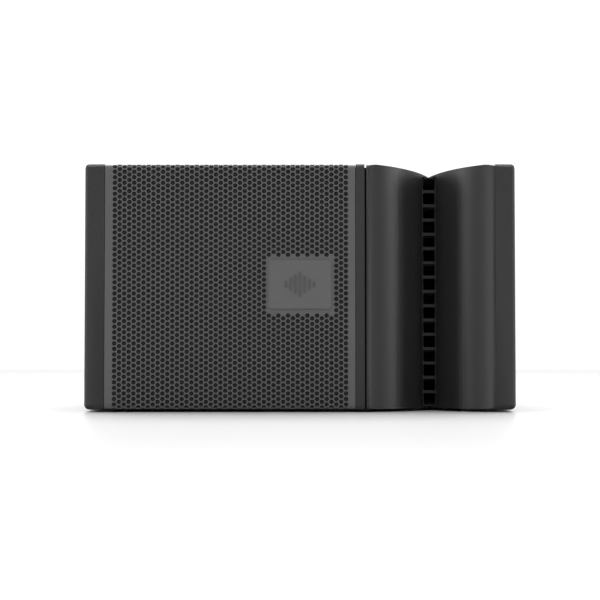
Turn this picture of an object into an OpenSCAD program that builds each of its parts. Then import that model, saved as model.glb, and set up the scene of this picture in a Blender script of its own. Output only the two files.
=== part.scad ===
// Line array loudspeaker element, two-way, wedge-shaped, on four rubber feet.
//
// Everything is drawn in the cabinet's own frame: x across, y back from the front
// plane, z up from the mid-plane, so the taper is the same above and below.
// stand() then sets the cabinet down on its lower face, which leans the front back.

/* [Cabinet] */
// Overall width
body_w = 440; // [430:1:460]
// Height of the front, over the cheeks
front_h = 253; // [250:1:260]
// Depth of the cheeks
depth = 320; // [315:1:330]
// Slope of the top and of the bottom towards the back, in degrees
wedge = 5; // [4:0.5:5]
// Thickness of each end cheek
cheek_t = 20; // [20:0.5:22]
// How far the cheeks and the divider stand above the panels
proud = 0.5; // [0.3:0.1:1]
// Rounding of the front edges
edge_r = 5; // [4:0.5:6]
// Rounding of the cheeks' outer long edges
side_r = 6; // [4:0.5:7]
// Height of the rubber feet below the panels
foot_h = 3; // [2.5:0.5:6]

/* [Low-frequency side] */
// Width of the grille
grille_w = 257; // [255:1:260]
// Sheet thickness of the grille
grille_t = 1.5; // [1:0.1:2]
// Depth of the grille's folded edges
return_d = 14; // [12:1:15]
// Distance from the front plane to the baffle
baffle_y = 26; // [26:1:30]
// Outer radius of the woofer's frame
woofer_r = 105; // [100:1:105]
// Cone travel each way
cone_travel = 4; // [2:0.5:5]

/* [High-frequency side] */
// Radius of the horn's flare
flare_r = 116.5; // [112:0.5:120]
// Slope of the flare at the mouth, in degrees
flare_start = 22; // [20:0.5:24]
// Number of waveguide outlets, a power of two
cells = 16; // [16]
// Distance between the outlets
cell_pitch = 14.9; // [14.5:0.1:14.9]
// Height of an outlet
cell = 12; // [10:0.5:12]
// Width of an outlet
cell_w = 13.4; // [12:0.2:14]

/* [Rigging] */
// Travel of the front link
link_travel = 58; // [50:1:60]
// Gap left between the fronts of two hung cabinets
stack_gap = 8; // [6:1:10]
// Length of the splay arm, pivot to hole
arm_len = 118; // [115:1:120]
// Thickness of the link and of the splay arm
bar_t = 5.6; // [5:0.1:5.7]
// Radius of the quick-release pins
pin_r = 4; // [3:0.5:4]
// Radius of the holes that take a quick-release pin
pin_hole_r = 4.15; // [4.1:0.05:4.3]

/* [Hidden] */
$fn = 64;

// Cabinet, derived
half_w = body_w / 2;
in_x = half_w - cheek_t;
cheek_half = front_h / 2;
panel_half = cheek_half - proud;
panel_t = 15;
hf_panel_t = 9;
wall_t = 9;
gap_w = 2;
gap_d = 20;
rear_y = 285;
rear_t = 15;
rear_r = 8;
rear_out = rear_y + rear_t;
inner_half = panel_half - panel_t / cos(wedge);
hf_inner_half = panel_half - hf_panel_t / cos(wedge);
divider_x = grille_w - in_x;
horn_x0 = divider_x + wall_t + gap_w;
joint_x = divider_x + wall_t;
tongue_y = 9;
foam_y = 6.5;
panel_y = return_d + 1;
port_x = 25;
port_d = 150;
base_z = foot_h + panel_half * cos(wedge);
foot_x = 178;
foot_ys = [34, 268];
foot_r = 13.5;

// Woofer
woofer_x = -85;
cutout_r = 92.5;
bolt_r = 99;
cone_r = 77;
cone_t = 0.8;
neck_r = 19.7;
neck_y = 60;
coil_r = 20.3;
former_r = 19.3;
pole_r = 18.9;
gap_r = 20.8;
top_plate_y = 86;
magnet_y = 92;
yoke_y = 110;
yoke_t = 7;

// Horn and waveguide
horn_x = (horn_x0 + in_x) / 2;
horn_d = 80;
horn_wall = 4;
slot_y = 60;
slot_w = cell_w + 0.6;
mouth_l = 3;
mouth_r = 2.5;
slot_half = cells * cell_pitch / 2;
guide_w = 24;
guide_clear = 0.3;
throat_y = 172;
throat_r = 12.7;
adapter_y = 180;
levels = log(cells) / log(2);
guide_ys = [172, 138, 112, 90, 72];
guide_ws = [22, 26, 17, 12, 12];
duct_w = 12;

// Compression driver
driver_y = adapter_y;
hf_magnet_y = driver_y + 7;
hf_top_y = hf_magnet_y + 13;
dome_y = hf_top_y + 7;

// Rigging
web = 3.5;
track_x0 = in_x + web;
track_x1 = half_w - 5;
plate_t = 3;
back_t = 2.5;
bar_x0 = track_x0 + back_t + 0.2;
link_y = 44;
link_w = 30;
link_top = 117;
link_len = 190;
guide_z = 15;
knob_z = 35;
lock_z = -58;
stow_z = 100;
receiver_z = stow_z + link_travel - front_h - stack_gap;
track_half = 117;
park_y = 73;
rear_track_y = 236;
rear_track_half = 88;
pivot_y = 286;
pivot_z = 72;
arm_w = 24;
rear_park = [230, -50];
rear_plate_y = 221;

// Rear fittings
input_x = -8;
input_z = -47;
cup_x = -8;
cup_z = 38;
cup_w = 116;
cup_h = 72;
cup_d = 45;

// Height of the top plane, z half at the front, at depth y
function top_z(half, y) = half - y * tan(wedge);
// Height of the centre of a corner arc of radius r at depth y
function arc_z(half, y, r) = top_z(half, y) - r / cos(wedge);

// Height of the hole at depth y that takes the arm from below at a given splay angle:
// the cabinet above turns about the pin through the raised link
function splay_z(y, angle) =
  let(
    a = link_y + (y - link_y) * cos(angle) - pivot_y,
    b = stow_z + link_travel - (y - link_y) * sin(angle) - pivot_z,
    k = a * sin(angle) + b * cos(angle)
  )
  receiver_z - k + sqrt(k * k - a * a - b * b + arm_len * arm_len);
splay_holes = [for (i = [0 : 4]) let(y = 246 + 12 * (i % 2)) [y, splay_z(y, 2.5 * i)]];

// Origin: middle of the space that the standing cabinet takes from front to back
front_most = edge_r * cos(wedge) - arc_z(cheek_half, edge_r, edge_r) * sin(wedge) - edge_r;
back_most = (depth - rear_r) * cos(wedge)
  + arc_z(cheek_half, depth - rear_r, rear_r) * sin(wedge) + rear_r;
origin_y = (front_most + back_most) / 2;

// ---- Placing and shared shapes ----

// Sets the cabinet frame down on its lower face
module stand() translate([0, -origin_y, base_z]) rotate([-wedge, 0, 0]) children();

module left() mirror([1, 0, 0]) children();

// Extrudes a (y, z) outline from x0 to x1
module along_x(x0, x1)
  translate([x0, 0, 0]) rotate([90, 0, 90]) linear_extrude(x1 - x0) children();

module rod_x(r, x0, x1, y, z)
  translate([x0, y, z]) rotate([0, 90, 0]) cylinder(r = r, h = x1 - x0);

module rod_y(r, y0, y1) translate([0, y0, 0]) rotate([-90, 0, 0]) cylinder(r = r, h = y1 - y0);

module ring_y(r_in, r_out, y0, y1) difference() {
  rod_y(r_out, y0, y1);
  rod_y(r_in, y0 - 1, y1 + 1);
}

// Turns a (radius, depth) outline about the y axis
module turned() rotate([-90, 0, 0]) rotate_extrude() children();

module block(x, y, z) translate([x[0], y[0], z[0]]) cube([x[1] - x[0], y[1] - y[0], z[1] - z[0]]);

// Side outline of a wedge-shaped piece, its corners rounded at the front and back
module wedge_outline(half, y0, y1, r0 = 0, r1 = 0) difference() {
  polygon([
    [y0, top_z(half, y0)], [y1, top_z(half, y1)], [y1, -top_z(half, y1)], [y0, -top_z(half, y0)]
  ]);
  for (s = [0, 1]) mirror([0, s]) {
    if (r0 > 0) corner_waste(half, y0 + r0, r0, y0 - 1, y0 + r0 + r0 * sin(wedge));
    if (r1 > 0) corner_waste(half, y1 - r1, r1, y1 - r1 + r1 * sin(wedge), y1 + 1);
  }
}

// What is cut off an outline between ya and yb to leave a corner of radius r
module corner_waste(half, y, r, ya, yb) difference() {
  translate([ya, arc_z(half, y, r)]) square([yb - ya, 3 * r]);
  translate([y, arc_z(half, y, r)]) circle(r);
}

// A flat panel that lies on the taper, above (side 1) or below (side -1)
module sloped_panel(x0, x1, y0, y1, half, t, side)
  along_x(x0, x1) polygon([
    for (p = [[y0, 0], [y1, 0], [y1, t], [y0, t]])
      [p[0], side * (top_z(half, p[0]) - p[1] / cos(wedge))]
  ]);

// What is cut off a sharp edge to round it: the edge runs along y, outwards is +x and +z
module edge_waste(r, y1) difference() {
  translate([-r, -r, -r]) cube([r + 5, y1 + r, r + 5]);
  translate([-r, -r - 1, -r]) rotate([-90, 0, 0]) cylinder(r = r, h = y1 + r + 2);
}

module screw_head(r, h) cylinder(r = r, h = h);

// ---- Carcass ----

module cheek() color("#333436") difference() {
  along_x(in_x, half_w) wedge_outline(cheek_half, 0, depth, edge_r, rear_r);
  // long outer edges, above and below
  for (s = [0, 1]) mirror([0, 0, s])
    translate([half_w, 0, cheek_half]) rotate([-wedge, 0, 0]) edge_waste(side_r, depth + 30);
  // upright outer edge at the front
  upright_edge_waste(4);
  // front track: slot through the full height, and the recess for its plate
  block([track_x0, track_x1 - plate_t], [25.7, 62.3], [-cheek_half, cheek_half]);
  block([track_x1 - plate_t, half_w + 1], [20, 84], [-118, 118]);
  // rear track: slot open to the back, and the recess for its plate
  block([track_x0, track_x1 - plate_t], [rear_track_y - 0.3, depth + 1], [-cheek_half, cheek_half]);
  block([track_x1 - plate_t, half_w + 1], [rear_plate_y - 0.5, depth + 1],
        [-rear_track_half - 1, rear_track_half + 1]);
  // shallow panel between the tracks
  block([half_w - 2, half_w + 1], [100, 206], [-92, 92]);
  // bores for the parked pins
  rod_x(pin_r + 0.08, track_x0, half_w, park_y, receiver_z);
  rod_x(pin_r + 0.08, track_x0, half_w, rear_park[0], rear_park[1]);
}

// What is cut off the cheek's upright front edge to round it
module upright_edge_waste(r) translate([0, 0, -cheek_half - 1]) linear_extrude(front_h + 2)
  difference() {
    translate([half_w - r, -1]) square([r + 1, r + 1]);
    translate([half_w - r, r]) circle(r);
  }

module lf_panel(side) color("#2e2f30") {
  sloped_panel(-in_x, divider_x, panel_y, rear_y, panel_half, panel_t, side);
  sloped_panel(-in_x, divider_x, tongue_y, panel_y, panel_half - 2 / cos(wedge), panel_t - 2, side);
}

module hf_panel(side) color("#2e2f30")
  sloped_panel(joint_x, in_x, horn_d, rear_y, panel_half, hf_panel_t, side);

module divider_panel() color("#333436") difference() {
  along_x(divider_x, joint_x) wedge_outline(cheek_half, 0, rear_y, edge_r);
  rod_x(5, divider_x - 1, joint_x + 1, 200, -60);
}

module left_wall() color("#4a3b2a")
  along_x(-in_x, -in_x + wall_t) wedge_outline(inner_half, panel_y, rear_y);

module right_wall() color("#4a3b2a")
  along_x(in_x - wall_t, in_x) wedge_outline(hf_inner_half, horn_d, rear_y);

module rear_panel() color("#2e2f30") difference() {
  along_x(-in_x, in_x) wedge_outline(panel_half, rear_y, rear_out);
  block([input_x - 62, input_x + 62], [rear_y - 1, rear_out + 1], [input_z - 18, input_z + 18]);
  block([cup_x - cup_w / 2 - 3, cup_x + cup_w / 2 + 3], [rear_y - 1, rear_out + 1],
        [cup_z - cup_h / 2 - 3, cup_z + cup_h / 2 + 3]);
}

module lf_baffle() color("#4a3b2a") difference() {
  along_x(-in_x + wall_t, port_x) wedge_outline(inner_half, baffle_y, baffle_y + panel_t);
  translate([woofer_x, 0, 0]) {
    rod_y(cutout_r, baffle_y - 1, baffle_y + panel_t + 1);
    at_woofer_bolts() rod_y(2.5, baffle_y - 1, baffle_y + panel_t + 1);
  }
}

module port_panel() color("#4a3b2a")
  along_x(port_x, port_x + wall_t) wedge_outline(inner_half, baffle_y, port_d);

// ---- Grille ----

module grille() color("#58595b") difference() {
  along_x(-in_x, divider_x) wedge_outline(panel_half, 0, return_d, edge_r);
  along_x(-in_x - 1, divider_x + 1)
    wedge_outline(panel_half - grille_t / cos(wedge), grille_t, return_d + 1, edge_r - grille_t);
  for (p = grille_screw_xs) for (s = [0, 1]) mirror([0, 0, s])
    translate([p, 0, panel_half]) rotate([-wedge, 0, 0]) translate([0, 9, -grille_t - 1])
      cylinder(r = 2.2, h = grille_t + 2);
}
grille_screw_xs = [-185, -71.5, 42];

module grille_foam() color("#141414")
  along_x(-in_x + 0.5, divider_x - 0.5)
    wedge_outline(panel_half - (grille_t + 0.3) / cos(wedge), grille_t, foam_y, edge_r - grille_t);

// Plain plate on the unpunched field of the grille
module badge() color("#626365") difference() {
  translate([0, 0, 1.7]) rotate([90, 0, 0]) linear_extrude(1.2) union() {
    square([64, 44], center = true);
    square([58, 50], center = true);
    for (x = [-29, 29], z = [-22, 22]) translate([x, z]) circle(3);
  }
}

module grille_screws() color("#3a3a3c")
  for (p = grille_screw_xs) for (s = [0, 1]) mirror([0, 0, s])
    translate([p, 0, panel_half]) rotate([-wedge, 0, 0]) translate([0, 9, 0]) {
      difference() {
        screw_head(3.6, 0.5 * proud);
        translate([0, 0, 0.1]) cylinder(r = 1.6, h = 1, $fn = 6);
      }
      translate([0, 0, -1.9]) cylinder(r = 1.9, h = 2);
    }

// ---- Horn and waveguide ----

// The flare is two large rounds side by side; each stands behind its surface
module flare_plan(r) {
  c = [horn_x0 - flare_r * sin(flare_start), flare_r * cos(flare_start)];
  translate([c[0], c[1]]) circle(r, $fn = 160);
  translate([2 * horn_x - c[0], c[1]]) circle(r, $fn = 160);
}

module horn_flare() color("#3b3c3e") difference() {
  intersection() {
    along_x(joint_x, in_x) wedge_outline(panel_half, 0, horn_d, edge_r);
    translate([0, 0, -cheek_half]) linear_extrude(front_h) difference() {
      intersection() {
        flare_plan(flare_r);
        translate([joint_x, 0]) square([in_x - joint_x, horn_d]);
      }
      // shadow gap beside the divider
      translate([joint_x - 1, -1]) square([gap_w + 1, gap_d + 1]);
    }
  }
  // outlet slot
  block([horn_x - slot_w / 2, horn_x + slot_w / 2], [-1, slot_y + 1], [-slot_half, slot_half]);
  // hollow on each side, open to the back
  intersection() {
    along_x(joint_x, in_x) wedge_outline(panel_half - horn_wall / cos(wedge), 0, horn_d + 1);
    translate([0, 0, -cheek_half]) linear_extrude(front_h) intersection() {
      flare_plan(flare_r - horn_wall);
      union() {
        translate([horn_x0 + horn_wall, horn_wall])
          square([horn_x - guide_w / 2 - 2 * horn_wall - horn_x0, horn_d]);
        translate([horn_x + guide_w / 2 + horn_wall, horn_wall])
          square([in_x - 2 * horn_wall - horn_x - guide_w / 2, horn_d]);
      }
    }
  }
  // seat of the waveguide
  along_x(horn_x - guide_w / 2 - guide_clear, horn_x + guide_w / 2 + guide_clear)
    guide_outline(guide_clear);
}

// Side outline of the waveguide block, grown all round by c
module guide_outline(c) {
  upper = [
    [slot_y, slot_half - 0.3 + c], [64, slot_half - 1 + c],
    [90, 102 + c], [112, 98 + c], [138, 80 + c], [166, 30 + c], [throat_y, 30 + c]
  ];
  n = len(upper);
  polygon(concat(upper, [for (i = [n - 1 : -1 : 0]) [upper[i][0], -upper[i][1]]]));
}

// One sound channel from (y0, z0) to (y1, z1), w0 and w1 wide
module channel(y0, z0, w0, y1, z1, w1)
  polygon([[y0, z0 - w0 / 2], [y0, z0 + w0 / 2], [y1, z1 + w1 / 2], [y1, z1 - w1 / 2]]);

// All the channels: each splits in two until there is one for every outlet
module channel_tree() {
  overlap = 1;
  channel(throat_y + overlap, 0, 2 * throat_r, guide_ys[0] - 8, 0, guide_ws[0]);
  for (level = [1 : levels]) {
    n = pow(2, level);
    span = cells * cell_pitch / n;
    for (k = [0 : n - 1]) {
      z = (k - (n - 1) / 2) * span;
      parent = (floor(k / 2) - (n / 2 - 1) / 2) * 2 * span;
      channel(
        guide_ys[level - 1] - (level == 1 ? 8 : 0) + overlap, parent, guide_ws[level - 1],
        guide_ys[level], z, guide_ws[level]
      );
    }
  }
  for (k = [0 : cells - 1])
    channel(guide_ys[levels] + overlap, (k - (cells - 1) / 2) * cell_pitch, cell,
            slot_y + mouth_l - 0.5, (k - (cells - 1) / 2) * cell_pitch, cell);
}

// Square with rounded corners, about the origin
module rounded_square(w, h, r) difference() {
  square([w, h], center = true);
  for (s = [0, 1], t = [0, 1]) mirror([s, 0]) mirror([0, t]) difference() {
    translate([w / 2 - r, h / 2 - r]) square(2 * r);
    translate([w / 2 - r, h / 2 - r]) circle(r, $fn = 32);
  }
}

// The outlets' round-cornered mouths, from the front face of the block into the channels
module outlet_mouths() for (k = [0 : cells - 1])
  translate([0, slot_y - 1, (k - (cells - 1) / 2) * cell_pitch]) rotate([-90, 0, 0])
    linear_extrude(mouth_l + 1) rounded_square(cell_w, cell, mouth_r);

// Half of the waveguide, split on the horn's centre plane; side -1 is the left one
module waveguide_half(side) color("#1e1f20")
  translate([horn_x, 0, 0]) mirror([side < 0 ? 1 : 0, 0, 0]) difference() {
    along_x(0, guide_w / 2) guide_outline(0);
    along_x(-1, duct_w / 2) channel_tree();
    outlet_mouths();
  }

module hf_adapter() color("#6b6d70") translate([horn_x, 0, 0]) difference() {
  rod_y(48, throat_y, adapter_y);
  rod_y(throat_r, throat_y - 1, adapter_y + 1);
  for (a = [0, 180]) rotate([0, a, 0]) translate([38, 0, 0]) rod_y(3.1, throat_y - 1, adapter_y + 1);
}

// ---- Compression driver ----

module hf_pole_plate() color("#8a8c8f") translate([horn_x, 0, 0]) difference() {
  union() {
    rod_y(48, driver_y, hf_magnet_y);
    rod_y(21.6, hf_magnet_y - 1, hf_top_y + 4);
  }
  turned() polygon([
    [0, driver_y - 1], [throat_r, driver_y - 1], [throat_r, driver_y],
    [18, hf_top_y + 4], [18, hf_top_y + 5], [0, hf_top_y + 5]
  ]);
}

module hf_magnet() color("#3c3c3e") translate([horn_x, 0, 0]) ring_y(28, 46, hf_magnet_y, hf_top_y);

module hf_top_plate() color("#8a8c8f") translate([horn_x, 0, 0]) ring_y(23, 46, hf_top_y, hf_top_y + 5);

// Dome-shaped plug with two annular slits
module hf_phase_plug() color("#202123") translate([horn_x, 0, 0]) difference() {
  intersection() {
    turned() polygon([
      [0, hf_top_y - 6], [15.6, hf_top_y - 6], [17.6, hf_top_y + 3.5], [17.6, 232], [0, 232]
    ]);
    translate([0, dome_y - 26, 0]) sphere(r = 32, $fn = 96);
  }
  ring_y(7, 8, hf_top_y - 3, 240);
  ring_y(12.5, 13.5, hf_top_y - 3, 240);
  rod_y(4, hf_top_y - 7, hf_top_y - 2);
}

// Dome, its former and its winding
module hf_diaphragm() color("#b9bcc0") translate([horn_x, 0, 0]) {
  difference() {
    translate([0, dome_y - 26, 0]) intersection() {
      sphere(r = 34.6, $fn = 96);
      rod_y(22.6, 26, 60);
    }
    translate([0, dome_y - 26, 0]) sphere(r = 34, $fn = 96);
  }
  ring_y(22, 22.6, hf_top_y + 0.5, dome_y + 0.4);
}

module hf_rear_cover() color("#2a2b2d") translate([horn_x, 0, 0]) difference() {
  rod_y(44, hf_top_y + 5, hf_top_y + 30);
  rod_y(40, hf_top_y + 4, hf_top_y + 27);
}

// ---- Woofer ----

module at_woofer_bolts() for (a = [0 : 45 : 315]) rotate([0, a + 22.5, 0])
  translate([bolt_r, 0, 0]) children();

module woofer() translate([woofer_x, 0, 0]) children();

module woofer_basket() color("#2b2c2e") woofer() difference() {
  union() {
    ring_y(88, woofer_r, baffle_y - 4, baffle_y);
    // rim that passes through the baffle, then the bowl
    turned() polygon([
      [91, baffle_y], [91, 46], [62, 82], [62, top_plate_y], [50, top_plate_y],
      [50, 79], [86, 44], [86, baffle_y - 4], [89, baffle_y - 4], [89, baffle_y]
    ]);
    ring_y(50, 62, 80, top_plate_y);
    ring_y(44, 52, 82, top_plate_y);
  }
  // windows between the spokes
  for (a = [0 : 60 : 300]) rotate([0, a, 0])
    block([56, 96], [49, 78], [-22, 22]);
  at_woofer_bolts() rod_y(2.7, baffle_y - 5, baffle_y + 1);
}

module woofer_gasket() color("#191919") woofer() difference() {
  ring_y(93.5, 104, baffle_y - 7, baffle_y - 4);
  at_woofer_bolts() rod_y(5.5, baffle_y - 8, baffle_y);
}

// Half roll between the frame and the cone
module woofer_surround() color("#1d1d1e") woofer() {
  roll_r = (93 - cone_r - 4) / 2;
  turned() {
    translate([cone_r + roll_r, baffle_y - 4.6]) difference() {
      circle(roll_r);
      circle(roll_r - 0.8);
      translate([-20, 0]) square([40, 20]);
    }
    translate([cone_r - 3, baffle_y - 5.4]) square([3.6, 0.8]);
    translate([cone_r + 2 * roll_r - 0.8, baffle_y - 5.4]) square([4, 0.8]);
  }
}

module woofer_cone() color("#242526") woofer() turned() polygon([
  [cone_r, baffle_y - 4.5], [cone_r - 4, baffle_y - 4.5], [neck_r, neck_y - cone_t],
  [neck_r, neck_y + cone_t], [cone_r - 3.6, baffle_y - 3.7], [cone_r, baffle_y - 3.7]
]);

// Shallow cap that closes the middle of the cone
module woofer_dust_cap() color("#202122") woofer() {
  cap_r = 30;
  cap_y = neck_y - (cap_r - neck_r) * (neck_y - baffle_y + 3.7) / (cone_r - 4 - neck_r) - 1.4;
  translate([0, cap_y + 38, 0]) difference() {
    intersection() {
      sphere(r = sqrt(38 * 38 + cap_r * cap_r), $fn = 96);
      rod_y(cap_r, -60, -38);
    }
    sphere(r = sqrt(38 * 38 + cap_r * cap_r) - 0.8, $fn = 96);
  }
}

module woofer_voice_coil() color("#a9683a") woofer() {
  ring_y(former_r, neck_r, neck_y - cone_t, 96);
  ring_y(neck_r - 0.1, coil_r, 83, 95);
}

// Corrugated disc that centres the coil
module woofer_spider() color("#c9a227") woofer() turned() {
  rolls = 8;
  inner = coil_r + 0.2;
  pitch = (49 - inner) / rolls;
  y = 68;
  polygon(concat(
    [for (i = [0 : rolls]) [inner + i * pitch, y + (i % 2) * 2.4]],
    [[56, y]], [[56, y + 0.6]],
    [for (i = [rolls : -1 : 0]) [inner + i * pitch, y + 0.6 + (i % 2) * 2.4]]
  ));
}

module woofer_top_plate() color("#77797c") woofer() ring_y(gap_r, 56, top_plate_y, magnet_y);

module woofer_magnet() color("#3c3c3e") woofer() ring_y(30, 66, magnet_y, yoke_y);

module woofer_yoke() color("#77797c") woofer() difference() {
  union() {
    rod_y(60, yoke_y, yoke_y + yoke_t);
    rod_y(pole_r, top_plate_y - 1, yoke_y + 1);
  }
  rod_y(7, top_plate_y - 2, yoke_y + yoke_t + 1);
}

module woofer_screws() color("#1a1a1b") woofer() at_woofer_bolts() difference() {
  union() {
    rod_y(4.2, baffle_y - 6.4, baffle_y - 4);
    rod_y(2.45, baffle_y - 4.2, baffle_y + 14);
  }
  translate([0, baffle_y - 7, 0]) rotate([-90, 0, 0]) cylinder(r = 2.1, h = 2, $fn = 6);
}

// ---- Rear fittings ----

module input_plate() color("#2a2b2c") difference() {
  block([input_x - 72, input_x + 72], [rear_out, rear_out + 2], [input_z - 27, input_z + 27]);
  for (s = [-1, 1]) translate([input_x + s * 36, 0, input_z]) rod_y(12.2, rear_out - 1, rear_out + 3);
  at_plate_screws() rod_y(2, rear_out - 1, rear_out + 3);
}

module at_plate_screws() for (x = [-66, 0, 66], z = [-21, 21])
  translate([input_x + x, 0, input_z + z]) children();

module at_cup_screws() for (x = [-1, 1], z = [-1, 1])
  translate([cup_x + x * (cup_w / 2 + 8), 0, cup_z + z * (cup_h / 2 + 1)]) children();

// Panel-mount speaker connector with a ring well for the plug
module socket(s) color("#161617") translate([input_x + s * 36, 0, input_z]) difference() {
  union() {
    rod_y(12, rear_out - 24, rear_out + 2);
    block([-13, 13], [rear_out + 2, rear_out + 4], [-15.5, 15.5]);
  }
  ring_y(5, 10.5, rear_out - 18, rear_out + 5);
}

module rear_screws() color("#111112") {
  at_plate_screws() pan_screw(rear_out + 2);
  at_cup_screws() pan_screw(rear_out + 3);
}

// Pan-head cross-slot screw that sits on the plane at depth y
module pan_screw(y) {
  difference() {
    rod_y(3.4, y, y + 1.8);
    for (a = [0, 90]) rotate([0, a, 0]) block([-1.8, 1.8], [y + 1, y + 3], [-0.4, 0.4]);
  }
  rod_y(1.9, y - 12, y);
}

// Moulded dish in the back, crossed by the grip
module handle_cup() color("#1b1c1d") difference() {
  union() {
    block([cup_x - cup_w / 2 - 14, cup_x + cup_w / 2 + 14], [rear_out, rear_out + 3],
          [cup_z - cup_h / 2 - 8, cup_z + cup_h / 2 + 8]);
    block([cup_x - cup_w / 2 - 3, cup_x + cup_w / 2 + 3], [rear_out - cup_d, rear_out + 1],
          [cup_z - cup_h / 2 - 3, cup_z + cup_h / 2 + 3]);
  }
  block([cup_x - cup_w / 2, cup_x + cup_w / 2], [rear_out - cup_d + 3, rear_out + 4],
        [cup_z - cup_h / 2, cup_z + cup_h / 2]);
  rod_x(5, cup_x - cup_w / 2 - 4, cup_x + cup_w / 2 + 4, rear_out - 9, cup_z + 6);
  at_cup_screws() rod_y(2, rear_out - 1, rear_out + 4);
}

module handle_bar() color("#121213") {
  rod_x(5, cup_x - cup_w / 2 - 3, cup_x + cup_w / 2 + 3, rear_out - 9, cup_z + 6);
  rod_x(9, cup_x - cup_w / 2 + 0.2, cup_x + cup_w / 2 - 0.2, rear_out - 9, cup_z + 6);
}

module feet() color("#0f0f10")
  for (x = [-foot_x, foot_x], y = foot_ys)
    translate([x, y, -top_z(panel_half, y)]) rotate([wedge, 0, 0]) translate([0, 0, -foot_h])
      difference() {
        union() {
          cylinder(r1 = foot_r - 1, r2 = foot_r, h = 1);
          translate([0, 0, 1]) cylinder(r = foot_r, h = foot_h - 1);
        }
        translate([0, 0, -1]) cylinder(r = 4, h = 2.2);
      }

// ---- Crossover, on the left wall ----

board_x = -in_x + wall_t + 8;

// Board on four stand-offs
module crossover_board() color("#1f5130") {
  block([board_x, board_x + 1.6], [150, 262], [-58, 58]);
  for (y = [156, 256], z = [-52, 52]) rod_x(4, board_x - 8, board_x + 0.5, y, z);
}

module crossover_parts() {
  // air-cored coils
  color("#a9683a") for (p = [[185, 28, 22], [185, -26, 20], [236, 24, 16]])
    difference() {
      rod_x(p[2], board_x + 1.6, board_x + 18, p[0], p[1]);
      rod_x(p[2] / 2.2, board_x + 1, board_x + 19, p[0], p[1]);
    }
  // film capacitors and a power resistor
  color("#8d1f1f") for (z = [-50, -34, -18])
    rod_y_at(7, board_x + 9, 218, 256, z);
  color("#d7d2c4") block([board_x + 1.6, board_x + 12], [214, 256], [-3, 6]);
}

module rod_y_at(r, x, y0, y1, z) translate([x, 0, z]) rod_y(r, y0, y1);

// ---- Rigging, drawn for the right-hand cheek ----

// Slot with round ends, from z0 to z1, cut along x
module slot_x(r, x0, x1, y, z0, z1) {
  rod_x(r, x0, x1, y, z0);
  rod_x(r, x0, x1, y, z1);
  block([x0, x1], [y - r, y + r], [z0, z1]);
}

module at_front_screws() for (z = [-60, 20, 95]) translate([0, park_y, z]) children();
module at_rear_screws() for (z = [-76, 10, 76]) translate([0, rear_park[0], z]) children();

module front_track() color("#202122") difference() {
  union() {
    block([track_x0, track_x1], [26, 62], [-track_half, track_half]);
    block([track_x1 - plate_t, track_x1], [20.5, 83.5], [-track_half, track_half]);
  }
  block([track_x0 + back_t, track_x1 - plate_t], [28.5, 59.5], [-track_half - 1, track_half + 1]);
  // the link from below is pinned in the lowest hole, the own link in the other two
  for (z = [receiver_z, lock_z, lock_z + link_travel])
    rod_x(pin_hole_r, track_x0 - 1, track_x1 + 1, link_y, z);
  rod_x(4, track_x0 - 1, track_x1 + 1, link_y, guide_z);
  slot_x(5.5, track_x1 - plate_t - 1, track_x1 + 1, link_y, knob_z, knob_z + link_travel);
  rod_x(pin_r + 0.08, track_x1 - plate_t - 1, track_x1 + 1, park_y, receiver_z);
  at_front_screws() rod_x(2.5, track_x1 - plate_t - 1, track_x1 + 1, 0, 0);
}

// Flat bar that slides up out of its track, with a thumb stud
module front_link() color("#8c8e91") {
  difference() {
    union() {
      block([bar_x0, bar_x0 + bar_t], [link_y - link_w / 2, link_y + link_w / 2],
            [link_top - link_len, link_top - link_w / 2]);
      rod_x(link_w / 2, bar_x0, bar_x0 + bar_t, link_y, link_top - link_w / 2);
    }
    rod_x(pin_hole_r, bar_x0 - 1, bar_x0 + bar_t + 1, link_y, stow_z);
    rod_x(pin_hole_r, bar_x0 - 1, bar_x0 + bar_t + 1, link_y, lock_z);
    slot_x(4.3, bar_x0 - 1, bar_x0 + bar_t + 1, link_y, guide_z - link_travel, guide_z);
  }
  rod_x(4.5, bar_x0 + bar_t - 0.5, track_x1 + 1, link_y, knob_z);
  rod_x(8, track_x1 + 0.5, track_x1 + 4, link_y, knob_z);
}

module rear_track() color("#202122") difference() {
  union() {
    block([track_x0, track_x0 + back_t], [rear_track_y, 306], [-rear_track_half, rear_track_half]);
    block([track_x0, track_x1], [rear_track_y, rear_track_y + 2.5], [-rear_track_half, rear_track_half]);
    block([track_x1 - plate_t, track_x1], [rear_plate_y, 306], [-rear_track_half, rear_track_half]);
  }
  rod_x(5, track_x0 - 1, track_x1 + 1, pivot_y, pivot_z);
  for (p = splay_holes) rod_x(pin_hole_r, track_x0 - 1, track_x1 + 1, p[0], p[1]);
  rod_x(pin_r + 0.08, track_x1 - plate_t - 1, track_x1 + 1, rear_park[0], rear_park[1]);
  at_rear_screws() rod_x(2.5, track_x1 - plate_t - 1, track_x1 + 1, 0, 0);
}

// Arm that hangs plumb from its pivot and swings out through the open back
module splay_arm() color("#8c8e91") translate([0, pivot_y, pivot_z]) rotate([wedge, 0, 0])
  difference() {
    union() {
      block([bar_x0, bar_x0 + bar_t], [-arm_w / 2, arm_w / 2], [-arm_len, 0]);
      for (z = [-arm_len, 0]) rod_x(arm_w / 2, bar_x0, bar_x0 + bar_t, 0, z);
    }
    rod_x(5.06, bar_x0 - 1, bar_x0 + bar_t + 1, 0, 0);
    rod_x(pin_hole_r, bar_x0 - 1, bar_x0 + bar_t + 1, 0, -arm_len);
  }

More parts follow.
